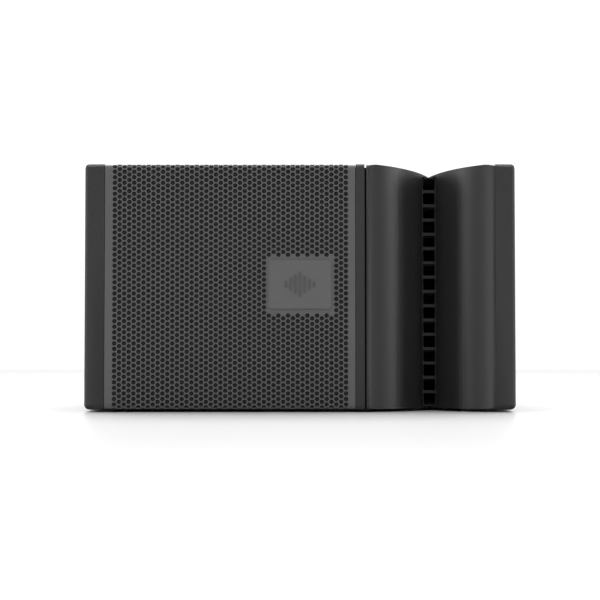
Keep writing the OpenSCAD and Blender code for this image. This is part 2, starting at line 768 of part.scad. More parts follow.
// Quick-release pin with its pull ring folded flat
module quick_pin(y, z) color("#b4b6b9") translate([0, y, z]) {
  rod_x(pin_r, track_x0 + 1, track_x1 + 0.5, 0, 0);
  rod_x(6.5, track_x1 + 0.2, track_x1 + 3.6, 0, 0);
  translate([track_x1 + 2, 0, 8]) rotate([0, 90, 0]) rotate_extrude() translate([7.5, 0]) circle(1);
}

module rigging_screws() color("#111112") for (s = [0, 1]) mirror([s, 0, 0]) {
  at_front_screws() button_screw();
  at_rear_screws() button_screw();
}

module button_screw() difference() {
  union() {
    rod_x(4.4, track_x1, track_x1 + 2.4, 0, 0);
    rod_x(2.4, track_x1 - 9, track_x1 + 0.1, 0, 0);
  }
  translate([track_x1 + 1, 0, 0]) rotate([0, 90, 0]) cylinder(r = 1.7, h = 3, $fn = 6);
}

// Guide bolts of the links and shoulder bolts of the arms
module rigging_bolts() color("#b4b6b9") for (s = [0, 1]) mirror([s, 0, 0]) {
  shoulder_bolt(4, link_y, guide_z);
  shoulder_bolt(5, pivot_y, pivot_z);
}

module shoulder_bolt(r, y, z) difference() {
  union() {
    rod_x(r, track_x0, track_x1 + 0.5, y, z);
    rod_x(r + 3, track_x1, track_x1 + 3, y, z);
  }
  translate([track_x1 + 1.4, y, z]) rotate([0, 90, 0]) cylinder(r = 3, h = 3, $fn = 6);
}

// ---- What is drawn ----

stand() left() cheek();  // left_cheek
stand() cheek();  // right_cheek
stand() lf_panel(1);  // lf_top_panel
stand() lf_panel(-1);  // lf_bottom_panel
stand() hf_panel(1);  // hf_top_panel
stand() hf_panel(-1);  // hf_bottom_panel
stand() divider_panel();
stand() left_wall();
stand() right_wall();
stand() rear_panel();
stand() lf_baffle();
stand() port_panel();
stand() grille();
stand() grille_foam();
stand() badge();
stand() grille_screws();
stand() horn_flare();
stand() waveguide_half(-1);  // waveguide_half_left
stand() waveguide_half(1);  // waveguide_half_right
stand() hf_adapter();
stand() hf_pole_plate();
stand() hf_magnet();
stand() hf_top_plate();
stand() hf_phase_plug();
stand() hf_diaphragm();
stand() hf_rear_cover();
stand() woofer_basket();
stand() woofer_gasket();
stand() woofer_surround();
stand() woofer_spider();
stand() woofer_top_plate();
stand() woofer_magnet();
stand() woofer_yoke();
stand() woofer_screws();
stand() woofer_cone();
stand() woofer_dust_cap();
stand() woofer_voice_coil();
stand() input_plate();
stand() socket(-1);  // input_socket
stand() socket(1);  // link_socket
stand() rear_screws();
stand() crossover_board();
stand() crossover_parts();
stand() handle_cup();
stand() handle_bar();
stand() feet();
stand() left() front_track();  // front_track_left
stand() front_track();  // front_track_right
stand() left() rear_track();  // rear_track_left
stand() rear_track();  // rear_track_right
stand() rigging_screws();
stand() rigging_bolts();
stand() left() front_link();  // front_link_left
stand() front_link();  // front_link_right
stand() left() splay_arm();  // splay_arm_left
stand() splay_arm();  // splay_arm_right
stand() left() quick_pin(park_y, receiver_z);  // front_pin_left
stand() quick_pin(park_y, receiver_z);  // front_pin_right
stand() left() quick_pin(rear_park[0], rear_park[1]);  // rear_pin_left
stand() quick_pin(rear_park[0], rear_park[1]);  // rear_pin_right
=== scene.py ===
import math
import bmesh, bpy
from mathutils import Matrix, Vector


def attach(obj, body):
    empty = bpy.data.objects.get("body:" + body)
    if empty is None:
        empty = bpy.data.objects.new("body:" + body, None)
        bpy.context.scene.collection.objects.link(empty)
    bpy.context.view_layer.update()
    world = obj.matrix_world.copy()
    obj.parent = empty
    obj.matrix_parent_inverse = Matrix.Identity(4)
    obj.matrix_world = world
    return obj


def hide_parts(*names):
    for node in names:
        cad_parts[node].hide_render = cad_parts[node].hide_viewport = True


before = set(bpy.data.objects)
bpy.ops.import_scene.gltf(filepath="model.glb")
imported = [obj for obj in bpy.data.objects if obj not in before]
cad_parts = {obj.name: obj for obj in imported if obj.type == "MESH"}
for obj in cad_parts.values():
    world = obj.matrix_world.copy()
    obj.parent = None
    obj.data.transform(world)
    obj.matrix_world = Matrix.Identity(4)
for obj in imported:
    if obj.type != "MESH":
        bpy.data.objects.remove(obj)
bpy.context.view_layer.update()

# Camera: it stands level with the middle of the cabinet, three and a half metres in front
# of the grille, and looks straight at it. At the grille the picture is 612 mm wide.
CAMERA_AWAY = 3.5
PICTURE_W = 0.6125
FRONT_Y = -0.158
LOOK_Z = 0.1143
SENSOR_W = 36
camera_data = bpy.data.cameras.new("camera")
camera_data.sensor_width = SENSOR_W
camera_data.lens = SENSOR_W * CAMERA_AWAY / PICTURE_W
camera = bpy.data.objects.new("camera", camera_data)
camera.location = (0, FRONT_Y - CAMERA_AWAY, LOOK_Z)
camera.rotation_euler = (math.radians(90), 0, 0)
bpy.context.collection.objects.link(camera)
bpy.context.scene.camera = camera


# Studio: a white acrylic sheet on a white ground, in a room that is bright behind and
# overhead and dim in front. Softboxes hang behind and above the cabinet. At each side a
# wide strip, a narrow box and a high box light its front and draw soft lines on the horn.
def linear(hex_colour):
    """The linear RGBA of an sRGB colour written as six hex digits."""
    channels = [int(hex_colour[i:i + 2], 16) / 255 for i in (0, 2, 4)]
    return [c / 12.92 if c <= 0.04045 else ((c + 0.055) / 1.055) ** 2.4 for c in channels] + [1]


def feed(tree, node, inputs):
    """Sets each input to its value, or links it where another node's output is given."""
    for key, value in inputs.items():
        if isinstance(value, bpy.types.NodeSocket):
            tree.links.new(value, node.inputs[key])
        else:
            node.inputs[key].default_value = value


def add_node(tree, kind, settings={}, inputs={}):
    """Adds a node with its settings and its inputs."""
    made = tree.nodes.new(kind)
    for key, value in settings.items():
        setattr(made, key, value)
    feed(tree, made, inputs)
    return made


def new_finish(name):
    """A new material with its node tree, its surface shader and the piece's coordinates."""
    material = bpy.data.materials.new(name)
    material.use_nodes = True
    tree = material.node_tree
    where = add_node(tree, "ShaderNodeTexCoord")
    return material, tree, tree.nodes["Principled BSDF"], where.outputs["Object"]


FLOOR_HALF = 1.95
floor_mesh = bmesh.new()
bmesh.ops.create_grid(floor_mesh, x_segments=1, y_segments=1, size=FLOOR_HALF)
floor_data = bpy.data.meshes.new("studio_floor")
floor_mesh.to_mesh(floor_data)
floor_mesh.free()
floor = bpy.data.objects.new("studio_floor", floor_data)
bpy.context.collection.objects.link(floor)
# Cast acrylic is an even, slightly greyed white with a soft, blurred mirror in it.
acrylic, tree, shader, here = new_finish("white_acrylic_sheet")
feed(tree, shader, {"Base Color": linear("dedede"), "Roughness": 0.32, "IOR": 1.49})
floor_data.materials.append(acrylic)

room = bpy.data.worlds.new("studio_room")
room.use_nodes = True
room_light = room.node_tree.nodes["Background"]
sky = add_node(room.node_tree, "ShaderNodeTexCoord")
direction = add_node(room.node_tree, "ShaderNodeSeparateXYZ", {}, {
    "Vector": sky.outputs["Generated"]})
back_wall = add_node(room.node_tree, "ShaderNodeMapRange", {"interpolation_type": "SMOOTHSTEP"}, {
    "Value": direction.outputs["Y"], "From Min": -0.5, "From Max": 0.5,
    "To Min": 0.2, "To Max": 1.12})
ceiling = add_node(room.node_tree, "ShaderNodeMapRange", {"interpolation_type": "SMOOTHSTEP"}, {
    "Value": direction.outputs["Z"], "From Min": 0.5, "From Max": 0.8, "To Min": 0, "To Max": 0.5})
glow = add_node(room.node_tree, "ShaderNodeMath", {"operation": "ADD"}, {
    0: back_wall.outputs["Result"], 1: ceiling.outputs["Result"]})
# the ground behind the sheet is plain white wherever it is seen directly
seen = add_node(room.node_tree, "ShaderNodeLightPath")
backdrop = add_node(room.node_tree, "ShaderNodeMath", {"operation": "MAXIMUM"}, {
    0: seen.outputs["Is Camera Ray"], 1: glow.outputs["Value"]})
feed(room.node_tree, room_light, {
    "Color": linear("ffffff"), "Strength": backdrop.outputs["Value"]})
bpy.context.scene.world = room
bpy.context.scene.view_settings.view_transform = "Standard"


def softbox(name, place, aim, width, height, watts):
    """A rectangular area light at a place, turned to face its aim."""
    light = bpy.data.lights.new(name, "AREA")
    light.shape = "RECTANGLE"
    light.size, light.size_y, light.energy = width, height, watts
    lamp = bpy.data.objects.new(name, light)
    lamp.location = place
    lamp.rotation_euler = (Vector(aim) - Vector(place)).to_track_quat("-Z", "Y").to_euler()
    bpy.context.collection.objects.link(lamp)


CABINET_FRONT = (0, -0.15, 0.12)
softbox("back_box", (0, 0.9, 1.3), (0, -0.1, 0.2), 1.6, 0.6, 15)
softbox("overhead_box", (0, 0.18, 1.1), (0, 0.1, 0.2), 1, 0.24, 6)
for side, name in ((-1, "left"), (1, "right")):
    softbox(name + "_strip", (2.6 * side, -0.5, 0.85), CABINET_FRONT, 0.8, 1.4, 13)
    softbox(name + "_front_box", (1.45 * side, -1.75, 0.6), CABINET_FRONT, 0.26, 1.1, 4.5)
    softbox(name + "_high_box", (0.9 * side, -2.1, 1.7), CABINET_FRONT, 0.5, 0.5, 6)


# Cabinet: birch plywood panels, glued and then sprayed with a black structured coating.
# The coat dries with a fine leathery grain, about one bump to the millimetre. Here and
# below, grain sizes are in metres and the sizes of shapes are in millimetres.
COAT_GRAIN = 0.0011
PANEL_EDGE, CHEEK_EDGE = 0.4, 0.7
CHEEK_ROUND = 5
cabinet_coat, tree, shader, here = new_finish("structured_polyurea_coat")
grain = add_node(tree, "ShaderNodeTexNoise", {"noise_dimensions": "3D"}, {
    "Vector": here, "Scale": 1 / COAT_GRAIN, "Detail": 3, "Roughness": 0.6})
pimples = add_node(tree, "ShaderNodeTexVoronoi", {"feature": "SMOOTH_F1"}, {
    "Vector": here, "Scale": 0.8 / COAT_GRAIN, "Smoothness": 0.5})
relief = add_node(tree, "ShaderNodeMath", {"operation": "SUBTRACT"}, {
    0: grain.outputs["Fac"], 1: pimples.outputs["Distance"]})
coat_bump = add_node(tree, "ShaderNodeBump", {}, {
    "Height": relief.outputs["Value"], "Strength": 0.55, "Distance": 0.0004})
coat_shade = add_node(tree, "ShaderNodeMix", {"data_type": "RGBA"}, {
    "Factor": grain.outputs["Fac"], "A": linear("222223"), "B": linear("363637")})
feed(tree, shader, {
    "Base Color": coat_shade.outputs["Result"], "Roughness": 0.55, "Specular IOR Level": 0.35,
    "Normal": coat_bump.outputs["Normal"]})


def round_front(bm, radius, near=0.02, level_run=0.001):
    """Rounds the two level edges, above and below, at the front of a board."""
    front_y = min(v.co.y for v in bm.verts)
    high, low = max(v.co.z for v in bm.verts), min(v.co.z for v in bm.verts)
    outer = 0.45 * (high - low)
    level = [e for e in bm.edges if all(v.co.y < front_y + near for v in e.verts)
             and abs(e.verts[0].co.x - e.verts[1].co.x) > level_run
             and max(abs(v.co.z - (high + low) / 2) for v in e.verts) > outer]
    bmesh.ops.bevel(bm, geom=level, offset=radius / 1000, affect="EDGES", segments=5, profile=0.5,
                    material=-1, clamp_overlap=True)


def set_piece(bm, data, body, material, replaces, turn):
    """Makes a piece from a drawn mesh; edges that turn by more degrees than turn stay sharp."""
    bm.to_mesh(data)
    bm.free()
    data.materials.clear()
    data.materials.append(material)
    data.shade_smooth()
    data.set_sharp_from_angle(angle=math.radians(turn))
    piece = bpy.data.objects.new(data.name, data)
    bpy.context.collection.objects.link(piece)
    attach(piece, body)
    if replaces:
        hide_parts(*replaces)
    return piece


WELD = 2e-6
FLAT_WITHIN = math.radians(0.3)
EDGE_ANGLE = math.radians(35)


def bevelled_copy(node, material, width, name=None, turn=30, front=0, body="cabinet"):
    """A welded copy of a node with its sharp edges rounded by width, in millimetres."""
    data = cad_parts[node].data.copy()
    data.name = name or node + "_finished"
    bm = bmesh.new()
    bm.from_mesh(data)
    bmesh.ops.remove_doubles(bm, verts=bm.verts, dist=WELD)
    bmesh.ops.dissolve_limit(bm, angle_limit=FLAT_WITHIN, verts=bm.verts, edges=bm.edges)
    if front:
        round_front(bm, front)
    piece = set_piece(bm, data, body, material, [node], turn)
    rounding = piece.modifiers.new("rounded_edges", "BEVEL")
    rounding.width = width / 1000
    rounding.segments = 2
    rounding.limit_method = "ANGLE"
    rounding.angle_limit = EDGE_ANGLE
    rounding.harden_normals = True


for board in ("left_cheek", "right_cheek", "divider_panel"):
    bevelled_copy(board, cabinet_coat, CHEEK_EDGE, front=CHEEK_ROUND)
for board in ("lf_top_panel", "lf_bottom_panel", "hf_top_panel", "hf_bottom_panel", "rear_panel"):
    bevelled_copy(board, cabinet_coat, PANEL_EDGE)


def finish_node(name, material):
    """Gives a node of the frame its finish."""
    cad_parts[name].data.materials.clear()
    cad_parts[name].data.materials.append(material)


# Inner carcass: side walls, woofer baffle and the side of the port, in bare birch plywood.
# The face veneer shows long grain and the sawn edges show its thin plies.
GRAIN_W, GRAIN_L, FIGURE = 0.0111, 0.0833, 6
birch, tree, shader, here = new_finish("birch_plywood")
along = add_node(tree, "ShaderNodeMapping", {}, {
    "Vector": here, "Scale": (1 / GRAIN_W, 1 / GRAIN_L, 1 / GRAIN_W)})
figure = add_node(tree, "ShaderNodeTexNoise", {}, {
    "Vector": along.outputs["Vector"], "Scale": FIGURE, "Detail": 6, "Distortion": 0.6})
veneer = add_node(tree, "ShaderNodeMix", {"data_type": "RGBA"}, {
    "Factor": figure.outputs["Fac"], "A": linear("a9825a"), "B": linear("d9bd92")})
feed(tree, shader, {"Base Color": veneer.outputs["Result"], "Roughness": 0.6})
for board in ("left_wall", "right_wall", "lf_baffle", "port_panel"):
    finish_node(board, birch)


# Horn: one satin moulding in glass-filled ABS. Two rounds meet at the slot in its middle,
# its edges are softened in the mould, and its skin is lightly spark-eroded.
HORN_SKIN = 0.0009
HORN_EDGE, HORN_ROUND = 0.7, 3
horn_abs, tree, shader, here = new_finish("moulded_abs_satin")
spark = add_node(tree, "ShaderNodeTexNoise", {}, {
    "Vector": here, "Scale": 1 / HORN_SKIN, "Detail": 2})
skin_bump = add_node(tree, "ShaderNodeBump", {}, {
    "Height": spark.outputs["Fac"], "Strength": 0.12, "Distance": 0.0002})
skin_gloss = add_node(tree, "ShaderNodeMapRange", {}, {
    "Value": spark.outputs["Fac"], "To Min": 0.3, "To Max": 0.36})
feed(tree, shader, {
    "Base Color": linear("222223"), "Roughness": skin_gloss.outputs["Result"],
    "Normal": skin_bump.outputs["Normal"]})
bevelled_copy("horn_flare", horn_abs, HORN_EDGE, "horn_moulding", turn=20,
              front=HORN_ROUND)


# Waveguide: two mirrored halves in black glass-filled nylon, screwed together on the
# horn's centre plane. Between their channels stand the bars that show in the horn's slot.
# The glass fibres leave the nylon's skin matt and very finely flecked.
FIBRE_FLECK = 0.000556
GUIDE_EDGE = 0.5
nylon, tree, shader, here = new_finish("glass_filled_nylon")
fibre = add_node(tree, "ShaderNodeTexNoise", {}, {
    "Vector": here, "Scale": 1 / FIBRE_FLECK, "Detail": 2})
fibre_bump = add_node(tree, "ShaderNodeBump", {}, {
    "Height": fibre.outputs["Fac"], "Strength": 0.2, "Distance": 0.0002})
feed(tree, shader, {
    "Base Color": linear("151516"), "Roughness": 0.6, "Normal": fibre_bump.outputs["Normal"]})
for side in ("left", "right"):
    bevelled_copy("waveguide_half_" + side, nylon, GUIDE_EDGE)


# Compression driver: adapter, motor, dome and cover, screwed to the waveguide's back. The
# adapter is die-cast; the steel plates are turned, so fine rings show on their faces.
# The cabinet's own frame starts in the middle of its front, and leans back by the wedge.
WEDGE = math.radians(5)
FRONT_MIDDLE = (0, -0.158095, 0.128521)


def cabinet_to_floor():
    """Turns millimetres in the cabinet's own frame into its place on the floor."""
    return Matrix.Translation(FRONT_MIDDLE) @ Matrix.Rotation(-WEDGE, 4, "X") \
        @ Matrix.Scale(0.001, 4)


def make_piece(bm, name, material, replaces=(), turn=30, body="cabinet"):
    """Makes a piece from a mesh drawn in the cabinet's own frame, in millimetres."""
    bmesh.ops.transform(bm, matrix=cabinet_to_floor(), verts=bm.verts)
    set_piece(bm, bpy.data.meshes.new(name), body, material, replaces, turn)


def pattern_about(tree, here, x, y, z):
    """A piece's coordinates turned to the cabinet's frame and centred on one of its points."""
    centred = add_node(tree, "ShaderNodeMapping", {"vector_type": "TEXTURE"}, {
        "Vector": here, "Location": cabinet_to_floor() @ Vector((x, y, z)),
        "Rotation": (-WEDGE, 0, 0)})
    return centred.outputs["Vector"]


HORN_AXIS = 134
WOOFER_AXIS = -85
TURNING_FEED = 0.0008
# a wave texture of scale 1 repeats after this length
WAVE = 0.314


def turned_steel(name, axis_x):
    """Zinc-plated steel turned about a fore-and-aft axis: fine concentric tool marks."""
    material, tree, shader, here = new_finish(name)
    lathe = add_node(tree, "ShaderNodeTexWave", {"wave_type": "RINGS", "rings_direction": "Y"}, {
        "Vector": pattern_about(tree, here, axis_x, 0, 0), "Scale": WAVE / TURNING_FEED,
        "Distortion": 0.4})
    tool_marks = add_node(tree, "ShaderNodeBump", {}, {
        "Height": lathe.outputs["Fac"], "Strength": 0.25, "Distance": 0.0001})
    feed(tree, shader, {
        "Base Color": linear("b9bcc0"), "Metallic": 1, "Roughness": 0.32,
        "Normal": tool_marks.outputs["Normal"]})
    return material


driver_steel = turned_steel("zinc_plated_turned_steel", HORN_AXIS)
for plate in ("hf_pole_plate", "hf_top_plate"):
    finish_node(plate, driver_steel)

# Die-cast aluminium is dull grey, with a skin of uneven gloss from the flow of the metal.
CAST_SKIN = 0.002
cast_alloy, tree, shader, here = new_finish("die_cast_aluminium")
casting_skin = add_node(tree, "ShaderNodeTexNoise", {}, {
    "Vector": here, "Scale": 1 / CAST_SKIN, "Detail": 4})
casting_gloss = add_node(tree, "ShaderNodeMapRange", {}, {
    "Value": casting_skin.outputs["Fac"], "To Min": 0.38, "To Max": 0.6})
casting_bump = add_node(tree, "ShaderNodeBump", {}, {
    "Height": casting_skin.outputs["Fac"], "Strength": 0.3, "Distance": 0.0003})
feed(tree, shader, {
    "Base Color": linear("a6a8aa"), "Metallic": 1, "Roughness": casting_gloss.outputs["Result"],
    "Normal": casting_bump.outputs["Normal"]})
finish_node("hf_adapter", cast_alloy)

# Sintered ferrite is a dull charcoal ceramic with chipped edges and a faint grain.
FERRITE_GRAIN = 0.00111
ferrite, tree, shader, here = new_finish("sintered_ferrite")
sinter = add_node(tree, "ShaderNodeTexNoise", {}, {
    "Vector": here, "Scale": 1 / FERRITE_GRAIN, "Detail": 5, "Roughness": 0.7})
sinter_shade = add_node(tree, "ShaderNodeMix", {"data_type": "RGBA"}, {
    "Factor": sinter.outputs["Fac"], "A": linear("2b2b2d"), "B": linear("46464a")})
feed(tree, shader, {"Base Color": sinter_shade.outputs["Result"], "Roughness": 0.78})
finish_node("hf_magnet", ferrite)

# Titanium foil is formed hot, which leaves a soft silver sheen with a faint warm bloom.
BLOOM = 0.0167
titanium, tree, shader, here = new_finish("formed_titanium_foil")
bloom = add_node(tree, "ShaderNodeTexNoise", {}, {"Vector": here, "Scale": 1 / BLOOM})
bloom_shade = add_node(tree, "ShaderNodeMix", {"data_type": "RGBA"}, {
    "Factor": bloom.outputs["Fac"], "A": linear("b4b2ad"), "B": linear("c6c3ba")})
feed(tree, shader, {"Base Color": bloom_shade.outputs["Result"], "Metallic": 1, "Roughness": 0.28})
finish_node("hf_diaphragm", titanium)
finish_node("hf_phase_plug", nylon)

# Stoved enamel flows out semi-gloss, with a slight orange peel.
ENAMEL_PEEL = 0.00154
COVER_EDGE = 1.5
black_enamelled, tree, shader, here = new_finish("stoved_black_enamel")
enamel_skin = add_node(tree, "ShaderNodeTexNoise", {}, {
    "Vector": here, "Scale": 1 / ENAMEL_PEEL, "Detail": 2})
enamel_relief = add_node(tree, "ShaderNodeBump", {}, {
    "Height": enamel_skin.outputs["Fac"], "Strength": 0.2, "Distance": 0.0002})
feed(tree, shader, {
    "Base Color": linear("202123"), "Roughness": 0.35, "Normal": enamel_relief.outputs["Normal"]})
bevelled_copy("hf_rear_cover", black_enamelled, COVER_EDGE)


# Woofer: a paper cone in a half-roll surround, on a cast frame that is bolted to the baffle
# through its gasket. The motor behind it is a ferrite ring between two turned steel plates.
finish_node("woofer_basket", black_enamelled)
finish_node("woofer_magnet", ferrite)
woofer_steel = turned_steel("zinc_plated_motor_steel", WOOFER_AXIS)
for plate in ("woofer_top_plate", "woofer_yoke"):
    finish_node(plate, woofer_steel)


def turned(bm, outline, place, steps=48):
    """Spins an outline of (radius, height) points about the Z axis, then sets it in place."""
    before = set(bm.verts)
    points = [bm.verts.new((radius, 0, height)) for radius, height in outline]
    line = [bm.edges.new(pair) for pair in zip(points, points[1:])]
    bmesh.ops.spin(bm, geom=points + line, cent=(0, 0, 0), axis=(0, 0, 1), angle=math.tau,
                   steps=steps, use_merge=True)
    made = [v for v in bm.verts if v not in before]
    bmesh.ops.remove_doubles(bm, verts=made, dist=0.0005)
    made = [v for v in bm.verts if v not in before]
    bmesh.ops.recalc_face_normals(bm, faces=list({f for v in made for f in v.link_faces}))
    bmesh.ops.transform(bm, matrix=place, verts=made)
    return made


def facing_back(x, y, z):
    """Sets a shape drawn up the Z axis so that it points to the back from a cabinet point."""
    return Matrix.Translation((x, y, z)) @ Matrix.Rotation(math.radians(-90), 4, "X")


CONE_LIP, CONE_EDGE, CONE_NECK = (77, 21.5), (73, 21.7), (19.7, 59.4)
CONE_PAPER = 0.8
CONE_RIBS = (36, 46, 56, 66)
RIB_STEPS = ((1.6, 0), (0.7, 0.6), (-0.7, 0.6), (-1.6, 0))
cone_slope = (CONE_NECK[1] - CONE_EDGE[1]) / (CONE_EDGE[0] - CONE_NECK[0])
front_line = [CONE_LIP, CONE_EDGE]
for rib in reversed(CONE_RIBS):
    for step, lift in RIB_STEPS:
        radius = rib + step
        front_line.append((radius, CONE_EDGE[1] + (CONE_EDGE[0] - radius) * cone_slope - lift))
front_line.append(CONE_NECK)
cone_bm = bmesh.new()
back_line = [(radius, height + CONE_PAPER) for radius, height in reversed(front_line)]
turned(cone_bm, front_line + back_line + front_line[:1], facing_back(WOOFER_AXIS, 0, 0), steps=72)

# Pressed pulp is matt and nearly black, with soft fibres of uneven tone; the raised fibres are also
# painted lighter, a painted highlight.
PULP_FIBRE = 0.00238
pulp, tree, shader, here = new_finish("pressed_paper_pulp")
fibres = add_node(tree, "ShaderNodeTexNoise", {}, {
    "Vector": pattern_about(tree, here, WOOFER_AXIS, 0, 0), "Scale": 1 / PULP_FIBRE, "Detail": 5,
    "Distortion": 1.2})
# uneven fibre tone, and a painted highlight: the fibres are lighter where the same noise raises them
fibre_tone_and_painted_highlight = add_node(tree, "ShaderNodeMix", {"data_type": "RGBA"}, {
    "Factor": fibres.outputs["Fac"], "A": linear("19191a"), "B": linear("333335")})
fibre_relief = add_node(tree, "ShaderNodeBump", {}, {
    "Height": fibres.outputs["Fac"], "Strength": 0.5, "Distance": 0.0003})
feed(tree, shader, {
    "Base Color": fibre_tone_and_painted_highlight.outputs["Result"], "Roughness": 0.88,
    "Normal": fibre_relief.outputs["Normal"]})
make_piece(cone_bm, "ribbed_cone", pulp, ["woofer_cone"], body="woofer_cone_body")
finish_node("woofer_dust_cap", pulp)

# The surround is doped cloth: a tight weave under a tacky, slightly shiny dressing. The
# threads of the surround and of the spider are drawn coarser than real ones, to show.
CLOTH_THREAD = 0.0006
doped_cloth, tree, shader, here = new_finish("doped_cloth")
weave_place = pattern_about(tree, here, WOOFER_AXIS, 0, 0)
warp, weft = (add_node(tree, "ShaderNodeTexWave", {"bands_direction": way}, {
    "Vector": weave_place, "Scale": WAVE / CLOTH_THREAD}) for way in ("X", "Z"))
weave = add_node(tree, "ShaderNodeMath", {"operation": "MAXIMUM"}, {
    0: warp.outputs["Fac"], 1: weft.outputs["Fac"]})
weave_relief = add_node(tree, "ShaderNodeBump", {}, {
    "Height": weave.outputs["Value"], "Strength": 0.35, "Distance": 0.0002})
feed(tree, shader, {
    "Base Color": linear("1c1c1d"), "Roughness": 0.5, "Normal": weave_relief.outputs["Normal"]})
finish_node("woofer_surround", doped_cloth)

# The spider is cotton stiffened with phenolic resin, which dries to a mustard yellow.
COTTON_THREAD = 0.000942
resin_cotton, tree, shader, here = new_finish("phenolic_cotton")
weave_place = pattern_about(tree, here, WOOFER_AXIS, 0, 0)
warp, weft = (add_node(tree, "ShaderNodeTexWave", {"bands_direction": way}, {
    "Vector": weave_place, "Scale": WAVE / COTTON_THREAD}) for way in ("X", "Z"))
open_weave = add_node(tree, "ShaderNodeMath", {"operation": "MULTIPLY"}, {
    0: warp.outputs["Fac"], 1: weft.outputs["Fac"]})
cotton_shade = add_node(tree, "ShaderNodeMix", {"data_type": "RGBA"}, {
    "Factor": open_weave.outputs["Value"], "A": linear("b58a2c"), "B": linear("8a6420")})
feed(tree, shader, {"Base Color": cotton_shade.outputs["Result"], "Roughness": 0.8})
finish_node("woofer_spider", resin_cotton)

# The voice coil is enamelled copper wire laid side by side on its former.
COIL_WIRE = 0.0003
wound_copper, tree, shader, here = new_finish("enamelled_copper_winding")
turns = add_node(tree, "ShaderNodeTexWave", {"bands_direction": "Y"}, {
    "Vector": pattern_about(tree, here, WOOFER_AXIS, 0, 0), "Scale": WAVE / COIL_WIRE})
turn_relief = add_node(tree, "ShaderNodeBump", {}, {
    "Height": turns.outputs["Fac"], "Strength": 0.5, "Distance": 0.0002})
# painted light: each turn is painted lighter on its crown, a painted highlight, and darker in the
# groove between turns, a painted shade
wire_painted_shade_and_highlight = add_node(tree, "ShaderNodeMix", {"data_type": "RGBA"}, {
    "Factor": turns.outputs["Fac"], "A": linear("8a4a24"), "B": linear("c9814c")})
feed(tree, shader, {
    "Base Color": wire_painted_shade_and_highlight.outputs["Result"], "Metallic": 0.9, "Roughness": 0.3,
    "Normal": turn_relief.outputs["Normal"]})
finish_node("woofer_voice_coil", wound_copper)

# The gasket is die-cut closed-cell foam, sooty and open-grained at its cut edge.
CUT_BUBBLE = 0.000714
gasket_foam, tree, shader, here = new_finish("die_cut_foam_rubber")
bubbles = add_node(tree, "ShaderNodeTexVoronoi", {}, {
    "Vector": here, "Scale": 1 / CUT_BUBBLE})
bubble_relief = add_node(tree, "ShaderNodeBump", {}, {
    "Height": bubbles.outputs["Distance"], "Strength": 0.5, "Distance": 0.0003})
feed(tree, shader, {
    "Base Color": linear("1a1a1a"), "Roughness": 0.92, "Normal": bubble_relief.outputs["Normal"]})
finish_node("woofer_gasket", gasket_foam)


# Woofer bolts: eight black cap screws with a hexagonal drive, through the frame and gasket.
def hex_key(across):
    """How far a hexagonal recess reaches at each angle."""
    return lambda a: across / 2 / math.cos((a + math.pi / 6) % (math.pi / 3) - math.pi / 6)


def cross_slot(across, slot):
    """How far a cross-shaped recess reaches at each angle."""
    return lambda a: min(across / 2, slot / 2 / max(min(abs(math.sin(a)), abs(math.cos(a))), 0.01))


def screw(bm, place, head_r, head_h, shank_r, shank_l, recess, deep):
    """A round-headed screw that points up the local Z axis, with a recess in its head."""
    seat = min(recess(math.pi / 6), head_r * 0.6)
    edge = min(0.5, head_h * 0.5)
    outline = [(0, -shank_l), (shank_r, -shank_l), (shank_r, 0), (head_r, 0), (head_r, head_h - edge),
               (head_r - edge, head_h - 0.2 * edge), (head_r - 2 * edge, head_h),
               (seat, head_h), (seat, head_h - deep), (0, head_h - deep)]
    before = set(bm.verts)
    turned(bm, outline, Matrix(), steps=24)
    made = [v for v in bm.verts if v not in before]
    lowest = max(-0.5 * shank_l, head_h - deep - 0.01)
    for vert in made:
        if abs(vert.co.xy.length - seat) < 0.001 and vert.co.z > lowest:
            vert.co.xy = vert.co.xy.normalized() * recess(math.atan2(vert.co.y, vert.co.x))
    bmesh.ops.transform(bm, matrix=place, verts=made)


# Black oxide is a thin dark skin on steel, oily and a little uneven in its gloss.
OXIDE_PATCH = 0.00125
black_oxide, tree, shader, here = new_finish("black_oxide_steel")
oxide = add_node(tree, "ShaderNodeTexNoise", {}, {
    "Vector": here, "Scale": 1 / OXIDE_PATCH, "Detail": 3})
oxide_gloss = add_node(tree, "ShaderNodeMapRange", {}, {
    "Value": oxide.outputs["Fac"], "To Min": 0.28, "To Max": 0.5})
feed(tree, shader, {
    "Base Color": linear("38383a"), "Metallic": 0.8, "Roughness": oxide_gloss.outputs["Result"]})
BOLTS, BOLT_CIRCLE, FLANGE_FACE = 8, 99, 22
CAP_SCREW = {"head_r": 4.2, "head_h": 2.4, "shank_r": 2.45, "shank_l": 14,
             "recess": hex_key(3.6), "deep": 1.6}
bolts_bm = bmesh.new()
for i in range(BOLTS):
    angle = math.tau * (i + 0.5) / BOLTS
    point = (WOOFER_AXIS + BOLT_CIRCLE * math.cos(angle), FLANGE_FACE, BOLT_CIRCLE * math.sin(angle))
    seat = Matrix.Translation(point) @ Matrix.Rotation(math.radians(90), 4, "X")
    screw(bolts_bm, seat, **CAP_SCREW)
make_piece(bolts_bm, "woofer_cap_screws", black_oxide, ["woofer_screws"])


